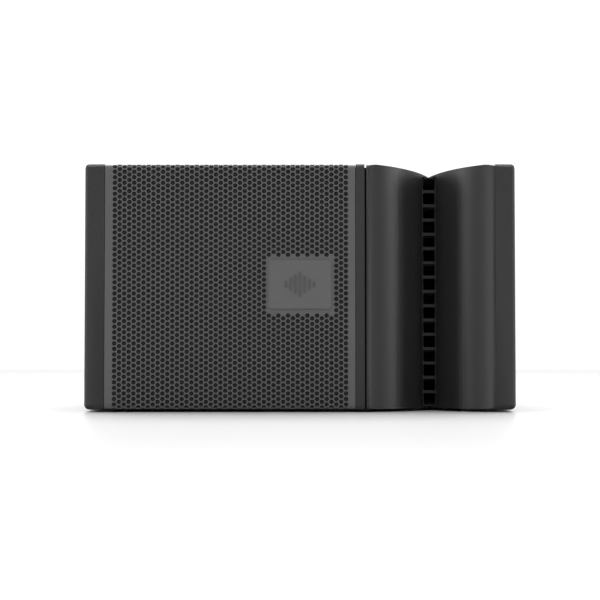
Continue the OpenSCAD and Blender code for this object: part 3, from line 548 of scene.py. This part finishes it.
# Crossover: a glass-epoxy board on the left wall with wound coils, film capacitors and a
# cemented resistor, all soldered down. It splits the input between the two drivers.
# Green solder resist covers the copper, which shows as darker and lighter patches, drawn
# coarser than real tracks so that they show.
BOARD_FACE = -181.4
TRACK_PATCH = 0.0143
laminate, tree, shader, here = new_finish("glass_epoxy_laminate")
tracks = add_node(tree, "ShaderNodeTexVoronoi", {"distance": "MANHATTAN"}, {
    "Vector": here, "Scale": 1 / TRACK_PATCH})
track_shade = add_node(tree, "ShaderNodeMix", {"data_type": "RGBA"}, {
    "Factor": tracks.outputs["Distance"], "A": linear("1d5a34"), "B": linear("144226")})
feed(tree, shader, {"Base Color": track_shade.outputs["Result"], "Roughness": 0.35})
finish_node("crossover_board", laminate)


def facing_right(x, y, z):
    """Sets a shape drawn up the Z axis so that it points to the right from a cabinet point."""
    return Matrix.Translation((x, y, z)) @ Matrix.Rotation(math.radians(90), 4, "Y")


COILS = ((185, 28, 22), (185, -26, 20), (236, 24, 16))
COIL_FOOT, COIL_TOP, COIL_TURNS = 0.2, 16.2, 20
coils_bm = bmesh.new()
for y, z, radius in COILS:
    core, end = radius / 2.2, radius - 0.6
    wire = [(radius - 0.35 * (i % 2), 0.6 + 0.8 * i) for i in range(COIL_TURNS)]
    coil_line = [(core, COIL_FOOT), (end, COIL_FOOT)] + wire + [(end, COIL_TOP), (core, COIL_TOP)]
    turned(coils_bm, coil_line + coil_line[:1], facing_right(BOARD_FACE, y, z))
make_piece(coils_bm, "crossover_coils", wound_copper, ["crossover_parts"], turn=50)

# The film is shrunk on under heat, so the red wrap is glossy and slightly rippled.
WRAP_RIPPLE = 0.00556
film_wrap, tree, shader, here = new_finish("polypropylene_film_wrap")
wrap_ripple = add_node(tree, "ShaderNodeTexNoise", {}, {
    "Vector": here, "Scale": 1 / WRAP_RIPPLE, "Detail": 1})
wrap_gloss = add_node(tree, "ShaderNodeMapRange", {}, {
    "Value": wrap_ripple.outputs["Fac"], "To Min": 0.18, "To Max": 0.34})
feed(tree, shader, {"Base Color": linear("8d2320"), "Roughness": wrap_gloss.outputs["Result"]})
CAP_END = [(0, 0), (5.6, 0), (6.5, 0.4), (7, 1.4)]
CAP_L, CAP_LIFT, CAP_Y = 38, 7.4, 218
cap_line = CAP_END + [(radius, CAP_L - height) for radius, height in reversed(CAP_END)]
caps_bm = bmesh.new()
for z in (-50, -34, -18):
    turned(caps_bm, cap_line, facing_back(BOARD_FACE + CAP_LIFT, CAP_Y, z), steps=32)
make_piece(caps_bm, "crossover_capacitors", film_wrap)

# Cement sets chalky and pale, with a gritty face.
CEMENT_GRIT = 0.00143
cement, tree, shader, here = new_finish("cemented_ceramic")
grit = add_node(tree, "ShaderNodeTexNoise", {}, {
    "Vector": here, "Scale": 1 / CEMENT_GRIT, "Detail": 4})
grit_shade = add_node(tree, "ShaderNodeMix", {"data_type": "RGBA"}, {
    "Factor": grit.outputs["Fac"], "A": linear("c4beae"), "B": linear("e2ddd0")})
feed(tree, shader, {"Base Color": grit_shade.outputs["Result"], "Roughness": 0.85})
RESISTOR = (10.4, 42, 9, 1)
resistor_place = Matrix.Translation((BOARD_FACE + RESISTOR[0] / 2, 235, 1.5))
resistor_bm = bmesh.new()
bmesh.ops.create_cube(resistor_bm, size=1, matrix=resistor_place @ Matrix.Diagonal(RESISTOR))
bmesh.ops.bevel(resistor_bm, geom=resistor_bm.edges[:], offset=0.8, affect="EDGES", segments=2,
                profile=0.5, material=-1)
make_piece(resistor_bm, "crossover_resistor", cement)


# Grille: 1.5 mm steel, punched with 4.75 mm round holes at a 5.68 mm triangular pitch, folded
# back over the top and bottom panels and powder coated. One field stays unpunched.
HOLE = 4.75
ROW_PITCH = 5.683
COLUMN_PITCH = ROW_PITCH * math.sqrt(3) / 2
COLUMNS = 49
FIRST_HOLE_X = -189.37
FIRST_ROW_Z = -1.77
GRILLE_X = (-199.5, 56.5)
SHEET = 1.5
FOLD_R = 5
STRAIGHT = 120.544
FOLD_ARC = FOLD_R * (math.pi / 2 - WEDGE)
FOLD_L = 8.597
SHEET_HALF = STRAIGHT + FOLD_ARC + FOLD_L
FIELD_Z = 1.7
FIELD_HALF = (34, 29.8)

sheet = bmesh.new()
HOLE_SIDES = 12
rim = bmesh.ops.create_circle(sheet, segments=HOLE_SIDES, radius=HOLE / 2)["verts"]
cell_w, cell_h = COLUMN_PITCH / 2, ROW_PITCH / 2
cell = ((1, 0), (1, 1), (-1, 1), (-1, 0), (-1, -1), (1, -1))
corners = [sheet.verts.new((cell_w * x, cell_h * y, 0)) for x, y in cell]
outline = [sheet.edges.new((corners[i], corners[(i + 1) % 6])) for i in range(6)]
bmesh.ops.bridge_loops(sheet, edges=list({e for v in rim for e in v.link_edges}) + outline)

rows = 2 * math.ceil(SHEET_HALF / ROW_PITCH) + 1
lowest_row = FIRST_ROW_Z - (rows // 2) * ROW_PITCH
bmesh.ops.translate(sheet, verts=sheet.verts, vec=(FIRST_HOLE_X, lowest_row, 0))
bmesh.ops.spin(sheet, geom=sheet.verts[:] + sheet.edges[:] + sheet.faces[:], cent=(0, 0, 0),
               axis=(0, 0, 1), dvec=(0, ROW_PITCH, 0), angle=0, steps=rows - 1, use_duplicate=True)
column = sheet.verts[:] + sheet.edges[:] + sheet.faces[:]
beside = bmesh.ops.duplicate(sheet, geom=column)["geom"]
bmesh.ops.translate(sheet, verts=[v for v in beside if isinstance(v, bmesh.types.BMVert)],
                    vec=(COLUMN_PITCH, ROW_PITCH / 2, 0))
bmesh.ops.spin(sheet, geom=sheet.verts[:] + sheet.edges[:] + sheet.faces[:], cent=(0, 0, 0),
               axis=(0, 0, 1), dvec=(2 * COLUMN_PITCH, 0, 0), angle=0, steps=COLUMNS // 2,
               use_duplicate=True)
bmesh.ops.remove_doubles(sheet, verts=sheet.verts, dist=0.01)

last_edge = FIRST_HOLE_X + (COLUMNS - 0.5) * COLUMN_PITCH
for side, at in ((1, last_edge), (1, SHEET_HALF), (-1, -SHEET_HALF)):
    along = Vector((1, 0, 0)) if at == last_edge else Vector((0, 1, 0))
    bmesh.ops.bisect_plane(sheet, geom=sheet.verts[:] + sheet.edges[:] + sheet.faces[:], dist=0.001,
                           plane_co=along * at, plane_no=along * side, clear_outer=True)
for side, edge_x, margin_x in ((-1, FIRST_HOLE_X - cell_w, GRILLE_X[0]), (1, last_edge, GRILLE_X[1])):
    border = [e for e in sheet.edges if e.is_boundary
              and all(abs(v.co.x - edge_x) < 0.02 for v in e.verts)]
    grown = bmesh.ops.extrude_edge_only(sheet, edges=border)["geom"]
    for vert in (v for v in grown if isinstance(v, bmesh.types.BMVert)):
        vert.co.x = margin_x


def hole_centre(edge):
    """The middle of the hole that an open edge belongs to."""
    middle = (edge.verts[0].co + edge.verts[1].co) / 2
    column_no = round((middle.x - FIRST_HOLE_X) / COLUMN_PITCH)
    shift = FIRST_ROW_Z + (ROW_PITCH / 2 if column_no % 2 else 0)
    return (FIRST_HOLE_X + column_no * COLUMN_PITCH,
            shift + round((middle.y - shift) / ROW_PITCH) * ROW_PITCH)


closed = [e for e in sheet.edges if e.is_boundary and abs(hole_centre(e)[0]) < FIELD_HALF[0]
          and abs(hole_centre(e)[1] - FIELD_Z) < FIELD_HALF[1]]
bmesh.ops.holes_fill(sheet, edges=closed, sides=HOLE_SIDES)

for vert in sheet.verts:
    x, run = vert.co.x, abs(vert.co.y)
    sign = 1 if vert.co.y > 0 else -1
    if run <= STRAIGHT:
        vert.co = (x, 0, sign * run)
        continue
    bend = min(run - STRAIGHT, FOLD_ARC) / FOLD_R
    past = max(0, run - STRAIGHT - FOLD_ARC)
    vert.co = (x, FOLD_R * (1 - math.cos(bend)) + past * math.cos(WEDGE),
               sign * (STRAIGHT + FOLD_R * math.sin(bend) - past * math.sin(WEDGE)))
bmesh.ops.recalc_face_normals(sheet, faces=sheet.faces)
if sum(f.normal.y * f.calc_area() for f in sheet.faces) > 0:
    bmesh.ops.reverse_faces(sheet, faces=sheet.faces)
bmesh.ops.solidify(sheet, geom=sheet.faces[:], thickness=SHEET)

# Powder coat melts out satin, with an orange peel a little over a millimetre across.
POWDER_PEEL = 0.00143
powder, tree, shader, here = new_finish("powder_coated_steel")
orange_peel = add_node(tree, "ShaderNodeTexNoise", {}, {
    "Vector": here, "Scale": 1 / POWDER_PEEL, "Detail": 2})
peel_bump = add_node(tree, "ShaderNodeBump", {}, {
    "Height": orange_peel.outputs["Fac"], "Strength": 0.15, "Distance": 0.0003})
feed(tree, shader, {
    "Base Color": linear("59595a"), "Roughness": 0.42, "Normal": peel_bump.outputs["Normal"]})
make_piece(sheet, "perforated_grille", powder, ["grille"], turn=50)


# Grille foam: a thin black reticulated foam behind the sheet that keeps dust and rain out.
# Its open cells are painted darker towards their middles, a painted shade in the hollows, which shows
# as a fine dark speckle through the holes.
FOAM_CELL = 0.00111
foam, tree, shader, here = new_finish("reticulated_foam")
cells = add_node(tree, "ShaderNodeTexVoronoi", {}, {
    "Vector": here, "Scale": 1 / FOAM_CELL})
# painted shade: darker towards the middle of each open cell, lighter on the struts at its border
foam_painted_cell_shade = add_node(tree, "ShaderNodeMapRange", {}, {
    "Value": cells.outputs["Distance"], "To Min": 0.008, "To Max": 0.03})
foam_bump = add_node(tree, "ShaderNodeBump", {}, {
    "Height": cells.outputs["Distance"], "Strength": 0.8, "Distance": 0.0008})
foam_colour = add_node(tree, "ShaderNodeCombineColor", {}, {
    "Red": foam_painted_cell_shade.outputs["Result"], "Green": foam_painted_cell_shade.outputs["Result"],
    "Blue": foam_painted_cell_shade.outputs["Result"]})
feed(tree, shader, {
    "Base Color": foam_colour.outputs["Color"], "Roughness": 0.95,
    "Normal": foam_bump.outputs["Normal"]})
finish_node("grille_foam", foam)


# Badge: a thin die-cast plate riveted to the unpunched field, in the grille's colour. Seven
# upright bars of different heights stand in its middle, in a slightly darker paint.
BADGE_W, BADGE_H, BADGE_T, BADGE_R = 64, 50, 1.2, 3
BAR_HEIGHTS = (7, 13, 20, 26, 17, 11, 5)
BAR_W, BAR_PITCH, BAR_R, BAR_EDGE = 2.6, 4.8, 0.8, 0.2
BAR_ROOT, BAR_FACE = -1.1, -1.7
BADGE_EDGE = 0.3


def rounded_slab(bm, x, z, width, height, y_back, y_front, radius, edge):
    """A plate that faces the front, with round corners and a softened front edge."""
    slab = bmesh.ops.create_cube(bm, size=1, matrix=Matrix.Translation((x, (y_back + y_front) / 2, z))
                                 @ Matrix.Diagonal((width, y_back - y_front, height, 1)))["verts"]
    upright = [e for e in {e for v in slab for e in v.link_edges}
               if abs(e.verts[0].co.y - e.verts[1].co.y) > 1e-6]
    made = bmesh.ops.bevel(bm, geom=upright, offset=radius, affect="EDGES", segments=6,
                           profile=0.5, material=-1, clamp_overlap=True)
    island = {f for v in slab if v.is_valid for f in v.link_faces} | set(made["faces"])
    front = [f for f in island if f.is_valid and all(abs(v.co.y - y_front) < 1e-5 for v in f.verts)]
    border = {e for f in front for e in f.edges}
    bmesh.ops.bevel(bm, geom=list(border), offset=edge, affect="EDGES", segments=2,
                    profile=0.5, material=-1, clamp_overlap=True)


badge_bm = bmesh.new()
rounded_slab(badge_bm, 0, FIELD_Z, BADGE_W, BADGE_H, 0, -BADGE_T, BADGE_R, BADGE_EDGE)
# Satin paint over a die casting is smooth, with a very fine fleck in its gloss.
PAINT_FLECK = 0.000667
badge_paint, tree, shader, here = new_finish("die_cast_satin_paint")
fleck = add_node(tree, "ShaderNodeTexNoise", {}, {
    "Vector": here, "Scale": 1 / PAINT_FLECK, "Detail": 2})
fleck_gloss = add_node(tree, "ShaderNodeMapRange", {}, {
    "Value": fleck.outputs["Fac"], "To Min": 0.32, "To Max": 0.46})
feed(tree, shader, {"Base Color": linear("606061"), "Roughness": fleck_gloss.outputs["Result"]})
make_piece(badge_bm, "badge_plate", badge_paint, ["badge"])

bars_bm = bmesh.new()
for i, height in enumerate(BAR_HEIGHTS):
    bar_x = (i - (len(BAR_HEIGHTS) - 1) / 2) * BAR_PITCH
    rounded_slab(bars_bm, bar_x, FIELD_Z, BAR_W, height, BAR_ROOT, BAR_FACE, BAR_R, BAR_EDGE)
# The bars' darker paint pools on their small faces, so its surface is softly uneven.
PAINT_POOL = 0.00167
bar_paint, tree, shader, here = new_finish("satin_bar_paint")
pooling = add_node(tree, "ShaderNodeTexNoise", {}, {
    "Vector": here, "Scale": 1 / PAINT_POOL, "Detail": 1})
pool_relief = add_node(tree, "ShaderNodeBump", {}, {
    "Height": pooling.outputs["Fac"], "Strength": 0.1, "Distance": 0.0002})
feed(tree, shader, {
    "Base Color": linear("515152"), "Roughness": 0.4, "Normal": pool_relief.outputs["Normal"]})
make_piece(bars_bm, "badge_bars", bar_paint)


# Grille screws: six flat-headed screws with a hexagonal drive, three through each fold.
PANEL_HALF = 126
SCREW_BACK = Matrix.Translation((0, 9, 0))
FLAT_SCREW = {"head_r": 3.6, "head_h": 0.25, "shank_r": 1.9, "shank_l": 1.9,
              "recess": hex_key(2.6), "deep": 1}
grille_screw_bm = bmesh.new()
for side in (1, -1):
    over = Matrix.Rotation(0 if side > 0 else math.pi, 4, "X")
    for x in (-185, -71.5, 42):
        seat = Matrix.Translation((x, 0, side * PANEL_HALF)) @ Matrix.Rotation(-side * WEDGE, 4, "X")
        screw(grille_screw_bm, seat @ SCREW_BACK @ over, **FLAT_SCREW)
make_piece(grille_screw_bm, "grille_cap_screws", black_oxide, ["grille_screws"])


# Input plate: black anodised aluminium with two twist-lock sockets side by side, for the
# amplifier's lead and for the lead on to the next cabinet.
INPUT_X, INPUT_Z = -8, -47
REAR_FACE = 300
SOCKET_FACE = REAR_FACE + 4
SOCKETS_X = (INPUT_X - 36, INPUT_X + 36)
INPUT_EDGE, SOCKET_EDGE = 0.4, 0.5
# The plate is brushed along its length before it is anodised, so fine lines cross it.
BRUSH_L, BRUSH_W = 0.0167, 0.0004
anodised, tree, shader, here = new_finish("black_anodised_aluminium")
grain_place = pattern_about(tree, here, INPUT_X, REAR_FACE, INPUT_Z)
brushing = add_node(tree, "ShaderNodeMapping", {}, {
    "Vector": grain_place, "Scale": (1 / BRUSH_L, 1 / BRUSH_W, 1 / BRUSH_W)})
brush_lines = add_node(tree, "ShaderNodeTexNoise", {}, {
    "Vector": brushing.outputs["Vector"], "Scale": 1, "Detail": 3})
brush_gloss = add_node(tree, "ShaderNodeMapRange", {}, {
    "Value": brush_lines.outputs["Fac"], "To Min": 0.3, "To Max": 0.5})
feed(tree, shader, {
    "Base Color": linear("3c3d40"), "Metallic": 0.85, "Roughness": brush_gloss.outputs["Result"]})
bevelled_copy("input_plate", anodised, INPUT_EDGE)

# Nickel over brass is bright and a little warm, with a slightly clouded gloss.
PLATING_CLOUD = 0.0025
brass, tree, shader, here = new_finish("nickel_plated_brass")
plating = add_node(tree, "ShaderNodeTexNoise", {}, {
    "Vector": here, "Scale": 1 / PLATING_CLOUD, "Detail": 2})
plating_gloss = add_node(tree, "ShaderNodeMapRange", {}, {
    "Value": plating.outputs["Fac"], "To Min": 0.15, "To Max": 0.3})
feed(tree, shader, {
    "Base Color": linear("cdc4ae"), "Metallic": 1, "Roughness": plating_gloss.outputs["Result"]})

COLLAR = [(10.5, -0.3), (10.5, 0.7), (10.8, 1), (12, 1), (12.5, 0.5), (12.5, -0.3), (10.5, -0.3)]
KEY_HALF, KEY_REACH, KEY_DEEP = 2, 11, 0.9
CONTACT = Matrix.Translation((5.1, 0, -8.5)) @ Matrix.Diagonal((0.5, 2.4, 13, 1))
CONTACT_PIN = [(0, -2), (1.5, -2), (1.5, 0.05), (1.2, 0.05), (1.2, -1), (0, -1)]
contacts_bm, collars_bm = bmesh.new(), bmesh.new()
for x in SOCKETS_X:
    seat = facing_back(x, SOCKET_FACE, INPUT_Z)
    # a raised collar round the well, with a key slot above and below
    before = set(collars_bm.verts)
    turned(collars_bm, COLLAR, Matrix())
    collar = [v for v in collars_bm.verts if v not in before]
    for vert in collar:
        if abs(vert.co.x) < KEY_HALF and vert.co.xy.length < KEY_REACH:
            vert.co.y += math.copysign(KEY_DEEP, vert.co.y)
    bmesh.ops.transform(collars_bm, matrix=seat, verts=collar)
    # four sprung contacts on the post in the middle
    for degrees in (45, 135, 225, 315):
        strip = seat @ Matrix.Rotation(math.radians(degrees), 4, "Z") @ CONTACT
        bmesh.ops.create_cube(contacts_bm, size=1, matrix=strip)
    turned(contacts_bm, CONTACT_PIN, seat, steps=16)
bmesh.ops.bevel(contacts_bm, geom=contacts_bm.edges[:], offset=0.12, affect="EDGES", segments=1,
                profile=0.5, material=-1, clamp_overlap=True)
make_piece(collars_bm, "socket_collars", nylon)
make_piece(contacts_bm, "socket_contacts", brass)
for socket in ("input_socket", "link_socket"):
    bevelled_copy(socket, nylon, SOCKET_EDGE)


# Rear screws: six in the input plate, four in the handle's rim and two in each socket.
# They are pan-headed and black, with a cross-shaped recess.
CUP_X, CUP_Z = -8, 38
PAN_SCREW = {"head_r": 3.4, "head_h": 1.8, "shank_r": 1.9, "shank_l": 12,
             "recess": cross_slot(3.6, 0.9), "deep": 0.9}
SOCKET_SCREW = {"head_r": 2.3, "head_h": 0.7, "shank_r": 1.2, "shank_l": 1.6,
                "recess": cross_slot(2.6, 0.7), "deep": 0.5}
rear_seats = [(INPUT_X + x, REAR_FACE + 2, INPUT_Z + z) for x in (-66, 0, 66) for z in (-21, 21)]
rear_seats += [(CUP_X + x, REAR_FACE + 3, CUP_Z + z) for x in (-66, 66) for z in (-37, 37)]
rear_screw_bm = bmesh.new()
for seat in rear_seats:
    screw(rear_screw_bm, facing_back(*seat), **PAN_SCREW)
for x in SOCKETS_X:
    for right, up in ((-9.6, -12.2), (9.6, 12.2)):
        screw(rear_screw_bm, facing_back(x + right, SOCKET_FACE, INPUT_Z + up), **SOCKET_SCREW)
make_piece(rear_screw_bm, "rear_pan_screws", black_oxide, ["rear_screws"])


# Handle: a moulded dish let into the back panel with a grip across it. The dish has the
# hair-cell grain of a moulding tool; the grip is a steel bar in a ribbed rubber sleeve.
HAIR_CELL = 0.0014
CUP_EDGE = 1.2
cup_abs, tree, shader, here = new_finish("hair_cell_abs")
hair_cells = add_node(tree, "ShaderNodeTexVoronoi", {"feature": "SMOOTH_F1"}, {
    "Vector": here, "Scale": 1 / HAIR_CELL, "Smoothness": 0.3})
cell_relief = add_node(tree, "ShaderNodeBump", {}, {
    "Height": hair_cells.outputs["Distance"], "Strength": 0.4, "Distance": 0.0004})
feed(tree, shader, {
    "Base Color": linear("1f2021"), "Roughness": 0.48, "Normal": cell_relief.outputs["Normal"]})
bevelled_copy("handle_cup", cup_abs, CUP_EDGE)

# Moulded rubber is dull black with a faint grey bloom in patches.
RUBBER_BLOOM = 0.00385
rubber, tree, shader, here = new_finish("moulded_rubber")
dusting = add_node(tree, "ShaderNodeTexNoise", {}, {
    "Vector": here, "Scale": 1 / RUBBER_BLOOM, "Detail": 5})
dust_shade = add_node(tree, "ShaderNodeMix", {"data_type": "RGBA"}, {
    "Factor": dusting.outputs["Fac"], "A": linear("161617"), "B": linear("2b2b2c")})
dust_relief = add_node(tree, "ShaderNodeBump", {}, {
    "Height": dusting.outputs["Fac"], "Strength": 0.25, "Distance": 0.0002})
feed(tree, shader, {
    "Base Color": dust_shade.outputs["Result"], "Roughness": 0.8,
    "Normal": dust_relief.outputs["Normal"]})

GRIP_HALF, GRIP_R, GRIP_RIB = 57.8, 9, 4.8
grip_line = [(0, -GRIP_HALF - 3), (5, -GRIP_HALF - 3), (5, -GRIP_HALF), (GRIP_R - 1, -GRIP_HALF),
             (GRIP_R, 1 - GRIP_HALF)]
ribs = int((2 * GRIP_HALF - 16) / GRIP_RIB)
for i in range(ribs):
    start = (i - ribs / 2) * GRIP_RIB
    grip_line += [(GRIP_R, start + 0.8), (GRIP_R - 0.9, start + 1.4),
                  (GRIP_R - 0.9, start + 2.6), (GRIP_R, start + 3.2)]
grip_line += [(radius, -height) for radius, height in reversed(grip_line[:5])]
grip_bm = bmesh.new()
turned(grip_bm, grip_line, facing_right(CUP_X, REAR_FACE - 9, CUP_Z + 6), steps=40)
make_piece(grip_bm, "ribbed_grip", rubber, ["handle_bar"])


# Feet: four moulded rubber feet, each held by one screw sunk in its middle. A shallow
# groove is moulded round the face that it stands on.
FOOT_H, FOOT_WELL = 3, 1.2
FOOT = [(4, FOOT_WELL), (4, 0.3), (4.3, 0), (7, 0), (7.3, 0.5), (9.7, 0.5), (10, 0), (12.2, 0),
        (13.1, 0.3), (13.5, 1), (13.5, FOOT_H), (0, FOOT_H), (0, FOOT_WELL), (4, FOOT_WELL)]
FOOT_SCREW = {"head_r": 3.4, "head_h": 0.8, "shank_r": 1.6, "shank_l": 1,
              "recess": cross_slot(3.4, 0.8), "deep": 0.5}
SUNK = Matrix.Translation((0, 0, FOOT_WELL)) @ Matrix.Rotation(math.pi, 4, "X")
feet_bm, foot_screw_bm = bmesh.new(), bmesh.new()
for x in (-178, 178):
    for y in (34, 268):
        under_panel = Matrix.Translation((x, y, y * math.tan(WEDGE) - PANEL_HALF))
        seat = under_panel @ Matrix.Rotation(WEDGE, 4, "X") @ Matrix.Translation((0, 0, -FOOT_H))
        turned(feet_bm, FOOT, seat)
        screw(foot_screw_bm, seat @ SUNK, **FOOT_SCREW)
make_piece(feet_bm, "rubber_feet", rubber, ["feet"])
make_piece(foot_screw_bm, "foot_screws", black_oxide)


# Rigging tracks: laser-cut and folded steel let into the cheeks, black from dip coating.
# The coat is satin, and the sliding bars have rubbed faint streaks into it.
RUB_W, RUB_L = 0.000667, 0.0111
TRACK_EDGE = 0.4
dipped_steel, tree, shader, here = new_finish("dip_coated_steel")
rubbing = add_node(tree, "ShaderNodeMapping", {}, {
    "Vector": here, "Scale": (1 / RUB_W, 1 / RUB_W, 1 / RUB_L)})
streaks = add_node(tree, "ShaderNodeTexNoise", {}, {
    "Vector": rubbing.outputs["Vector"], "Scale": 1, "Detail": 4})
streak_edge = add_node(tree, "ShaderNodeMapRange", {}, {
    "Value": streaks.outputs["Fac"], "From Min": 0.6, "From Max": 0.8})
streak_shade = add_node(tree, "ShaderNodeMix", {"data_type": "RGBA"}, {
    "Factor": streak_edge.outputs["Result"], "A": linear("1f2022"), "B": linear("2b2c2f")})
streak_gloss = add_node(tree, "ShaderNodeMapRange", {}, {
    "Value": streaks.outputs["Fac"], "To Min": 0.46, "To Max": 0.36})
feed(tree, shader, {
    "Base Color": streak_shade.outputs["Result"], "Roughness": streak_gloss.outputs["Result"]})
for side in ("left", "right"):
    for track in ("front_track_", "rear_track_"):
        bevelled_copy(track + side, dipped_steel, TRACK_EDGE)


# Links and splay arms: flat bars cut from 5.6 mm steel and zinc plated. They slide and swing
# in the tracks and carry the cabinets above and below, held by the quick-release pins.
# Bright zinc plating is pale grey, with soft clouds and an uneven sheen.
ZINC_CLOUD = 0.00714
BAR_CUT_EDGE = 0.5
zinc, tree, shader, here = new_finish("zinc_plated_steel")
spangle = add_node(tree, "ShaderNodeTexNoise", {}, {
    "Vector": here, "Scale": 1 / ZINC_CLOUD, "Detail": 4, "Distortion": 0.8})
spangle_shade = add_node(tree, "ShaderNodeMix", {"data_type": "RGBA"}, {
    "Factor": spangle.outputs["Fac"], "A": linear("a3a7ac"), "B": linear("c3c6ca")})
spangle_gloss = add_node(tree, "ShaderNodeMapRange", {}, {
    "Value": spangle.outputs["Fac"], "To Min": 0.28, "To Max": 0.45})
feed(tree, shader, {
    "Base Color": spangle_shade.outputs["Result"], "Metallic": 1,
    "Roughness": spangle_gloss.outputs["Result"]})
for side in ("left", "right"):
    for bar in ("front_link_" + side, "splay_arm_" + side):
        bevelled_copy(bar, zinc, BAR_CUT_EDGE, body=bar + "_body")


# Quick-release pins: stainless steel, with a knurled head, a push button in its middle, two
# locking balls near the tip and a split ring to pull on. They park in the cheeks.
# Turned stainless is bright, with a fine and slightly uneven gloss.
TRACK_FACE = 215
TURNED_GRAIN = 0.000909
stainless, tree, shader, here = new_finish("turned_stainless_steel")
fine_turning = add_node(tree, "ShaderNodeTexNoise", {}, {
    "Vector": here, "Scale": 1 / TURNED_GRAIN, "Detail": 2})
turning_gloss = add_node(tree, "ShaderNodeMapRange", {}, {
    "Value": fine_turning.outputs["Fac"], "To Min": 0.16, "To Max": 0.3})
feed(tree, shader, {
    "Base Color": linear("c4c6c8"), "Metallic": 1, "Roughness": turning_gloss.outputs["Result"]})

# The button is anodised and dyed red, a satin metal that shows when the pin is locked.
BUTTON_GRAIN = 0.00111
red_button, tree, shader, here = new_finish("red_anodised_aluminium")
button_grain = add_node(tree, "ShaderNodeTexNoise", {}, {
    "Vector": here, "Scale": 1 / BUTTON_GRAIN})
button_gloss = add_node(tree, "ShaderNodeMapRange", {}, {
    "Value": button_grain.outputs["Fac"], "To Min": 0.25, "To Max": 0.4})
feed(tree, shader, {
    "Base Color": linear("a3241c"), "Metallic": 0.7, "Roughness": button_gloss.outputs["Result"]})

PINS = (("front", 73, -103), ("rear", 230, -50))
PIN = [(0, -10.5), (2.6, -10.5), (4, -9.3), (4, 0), (5.6, 0), (5.6, 0.5), (6.5, 0.9), (6.5, 3),
       (5.9, 3.6), (3.3, 3.6), (3.3, 2.6), (0, 2.6)]
PIN_STEPS = 48
KNURL_FROM, KNURL_CUT = 6.4, 0.955
BALL_R, BALL_OUT, BALL_DOWN = 1.1, 3.4, -8
WIRE_R, RING_R, RING_PLACE = 0.9, 7.5, (-8, 0, 2)
BUTTON = [(0, 2.4), (2.9, 2.4), (2.9, 3.7), (2.5, 4), (0, 4.1)]
for side, turn_over in (("left", -1), ("right", 1)):
    for place, y, z in PINS:
        seat = Matrix.Diagonal((turn_over, 1, 1, 1)) @ facing_right(TRACK_FACE, y, z)
        body = place + "_pin_" + side + "_body"
        pin_bm = bmesh.new()
        turned(pin_bm, PIN, Matrix(), steps=PIN_STEPS)
        # every other line of the head is cut back, which knurls its rim
        for vert in pin_bm.verts:
            line_no = round(math.atan2(vert.co.y, vert.co.x) / (math.tau / PIN_STEPS))
            if vert.co.xy.length > KNURL_FROM and line_no % 2:
                vert.co.xy *= KNURL_CUT
        for ball in (-1, 1):
            bmesh.ops.create_uvsphere(pin_bm, u_segments=12, v_segments=8, radius=BALL_R,
                                      matrix=Matrix.Translation((0, BALL_OUT * ball, BALL_DOWN)))
        wire_place = Matrix.Translation((RING_R, 0, 0)) @ Matrix.Rotation(math.radians(90), 4, "X")
        wire = bmesh.ops.create_circle(pin_bm, segments=12, radius=WIRE_R, matrix=wire_place)["verts"]
        before = set(pin_bm.verts) - set(wire)
        bmesh.ops.spin(pin_bm, geom=wire + list({e for v in wire for e in v.link_edges}),
                       cent=(0, 0, 0), axis=(0, 0, 1), angle=math.tau, steps=PIN_STEPS,
                       use_merge=True)
        ring = [v for v in pin_bm.verts if v not in before]
        bmesh.ops.translate(pin_bm, verts=ring, vec=RING_PLACE)
        bmesh.ops.transform(pin_bm, matrix=seat, verts=pin_bm.verts)
        button_bm = bmesh.new()
        turned(button_bm, BUTTON, seat, steps=32)
        for bm in (pin_bm, button_bm):
            bmesh.ops.recalc_face_normals(bm, faces=bm.faces)
        make_piece(pin_bm, place + "_quick_pin_" + side, stainless,
                   [place + "_pin_" + side], turn=35, body=body)
        make_piece(button_bm, place + "_pin_button_" + side, red_button, body=body)


# Rigging fasteners: black button-headed screws hold the tracks. A bright shoulder bolt
# guides each link, and another is the pivot of each splay arm.
TRACK_SCREWS = ((73, -60), (73, 20), (73, 95), (230, -76), (230, 10), (230, 76))
BUTTON_SCREW = {"head_r": 4.4, "head_h": 2.4, "shank_r": 2.4, "shank_l": 9,
                "recess": hex_key(3), "deep": 1.4}
SHOULDERS = ((44, 15, 4), (286, 72, 5))
SHOULDER_BOLT = {"head_h": 3, "shank_l": 11.5, "recess": hex_key(5), "deep": 1.8}
rigging_screw_bm, rigging_bolt_bm = bmesh.new(), bmesh.new()
for turn_over in (-1, 1):
    mirrored = Matrix.Diagonal((turn_over, 1, 1, 1))
    for y, z in TRACK_SCREWS:
        screw(rigging_screw_bm, mirrored @ facing_right(TRACK_FACE, y, z), **BUTTON_SCREW)
    for y, z, radius in SHOULDERS:
        screw(rigging_bolt_bm, mirrored @ facing_right(TRACK_FACE, y, z), head_r=radius + 3,
              shank_r=radius, **SHOULDER_BOLT)
for bm in (rigging_screw_bm, rigging_bolt_bm):
    bmesh.ops.recalc_face_normals(bm, faces=bm.faces)
make_piece(rigging_screw_bm, "track_screws", black_oxide, ["rigging_screws"])
make_piece(rigging_bolt_bm, "shoulder_bolts", zinc, ["rigging_bolts"])
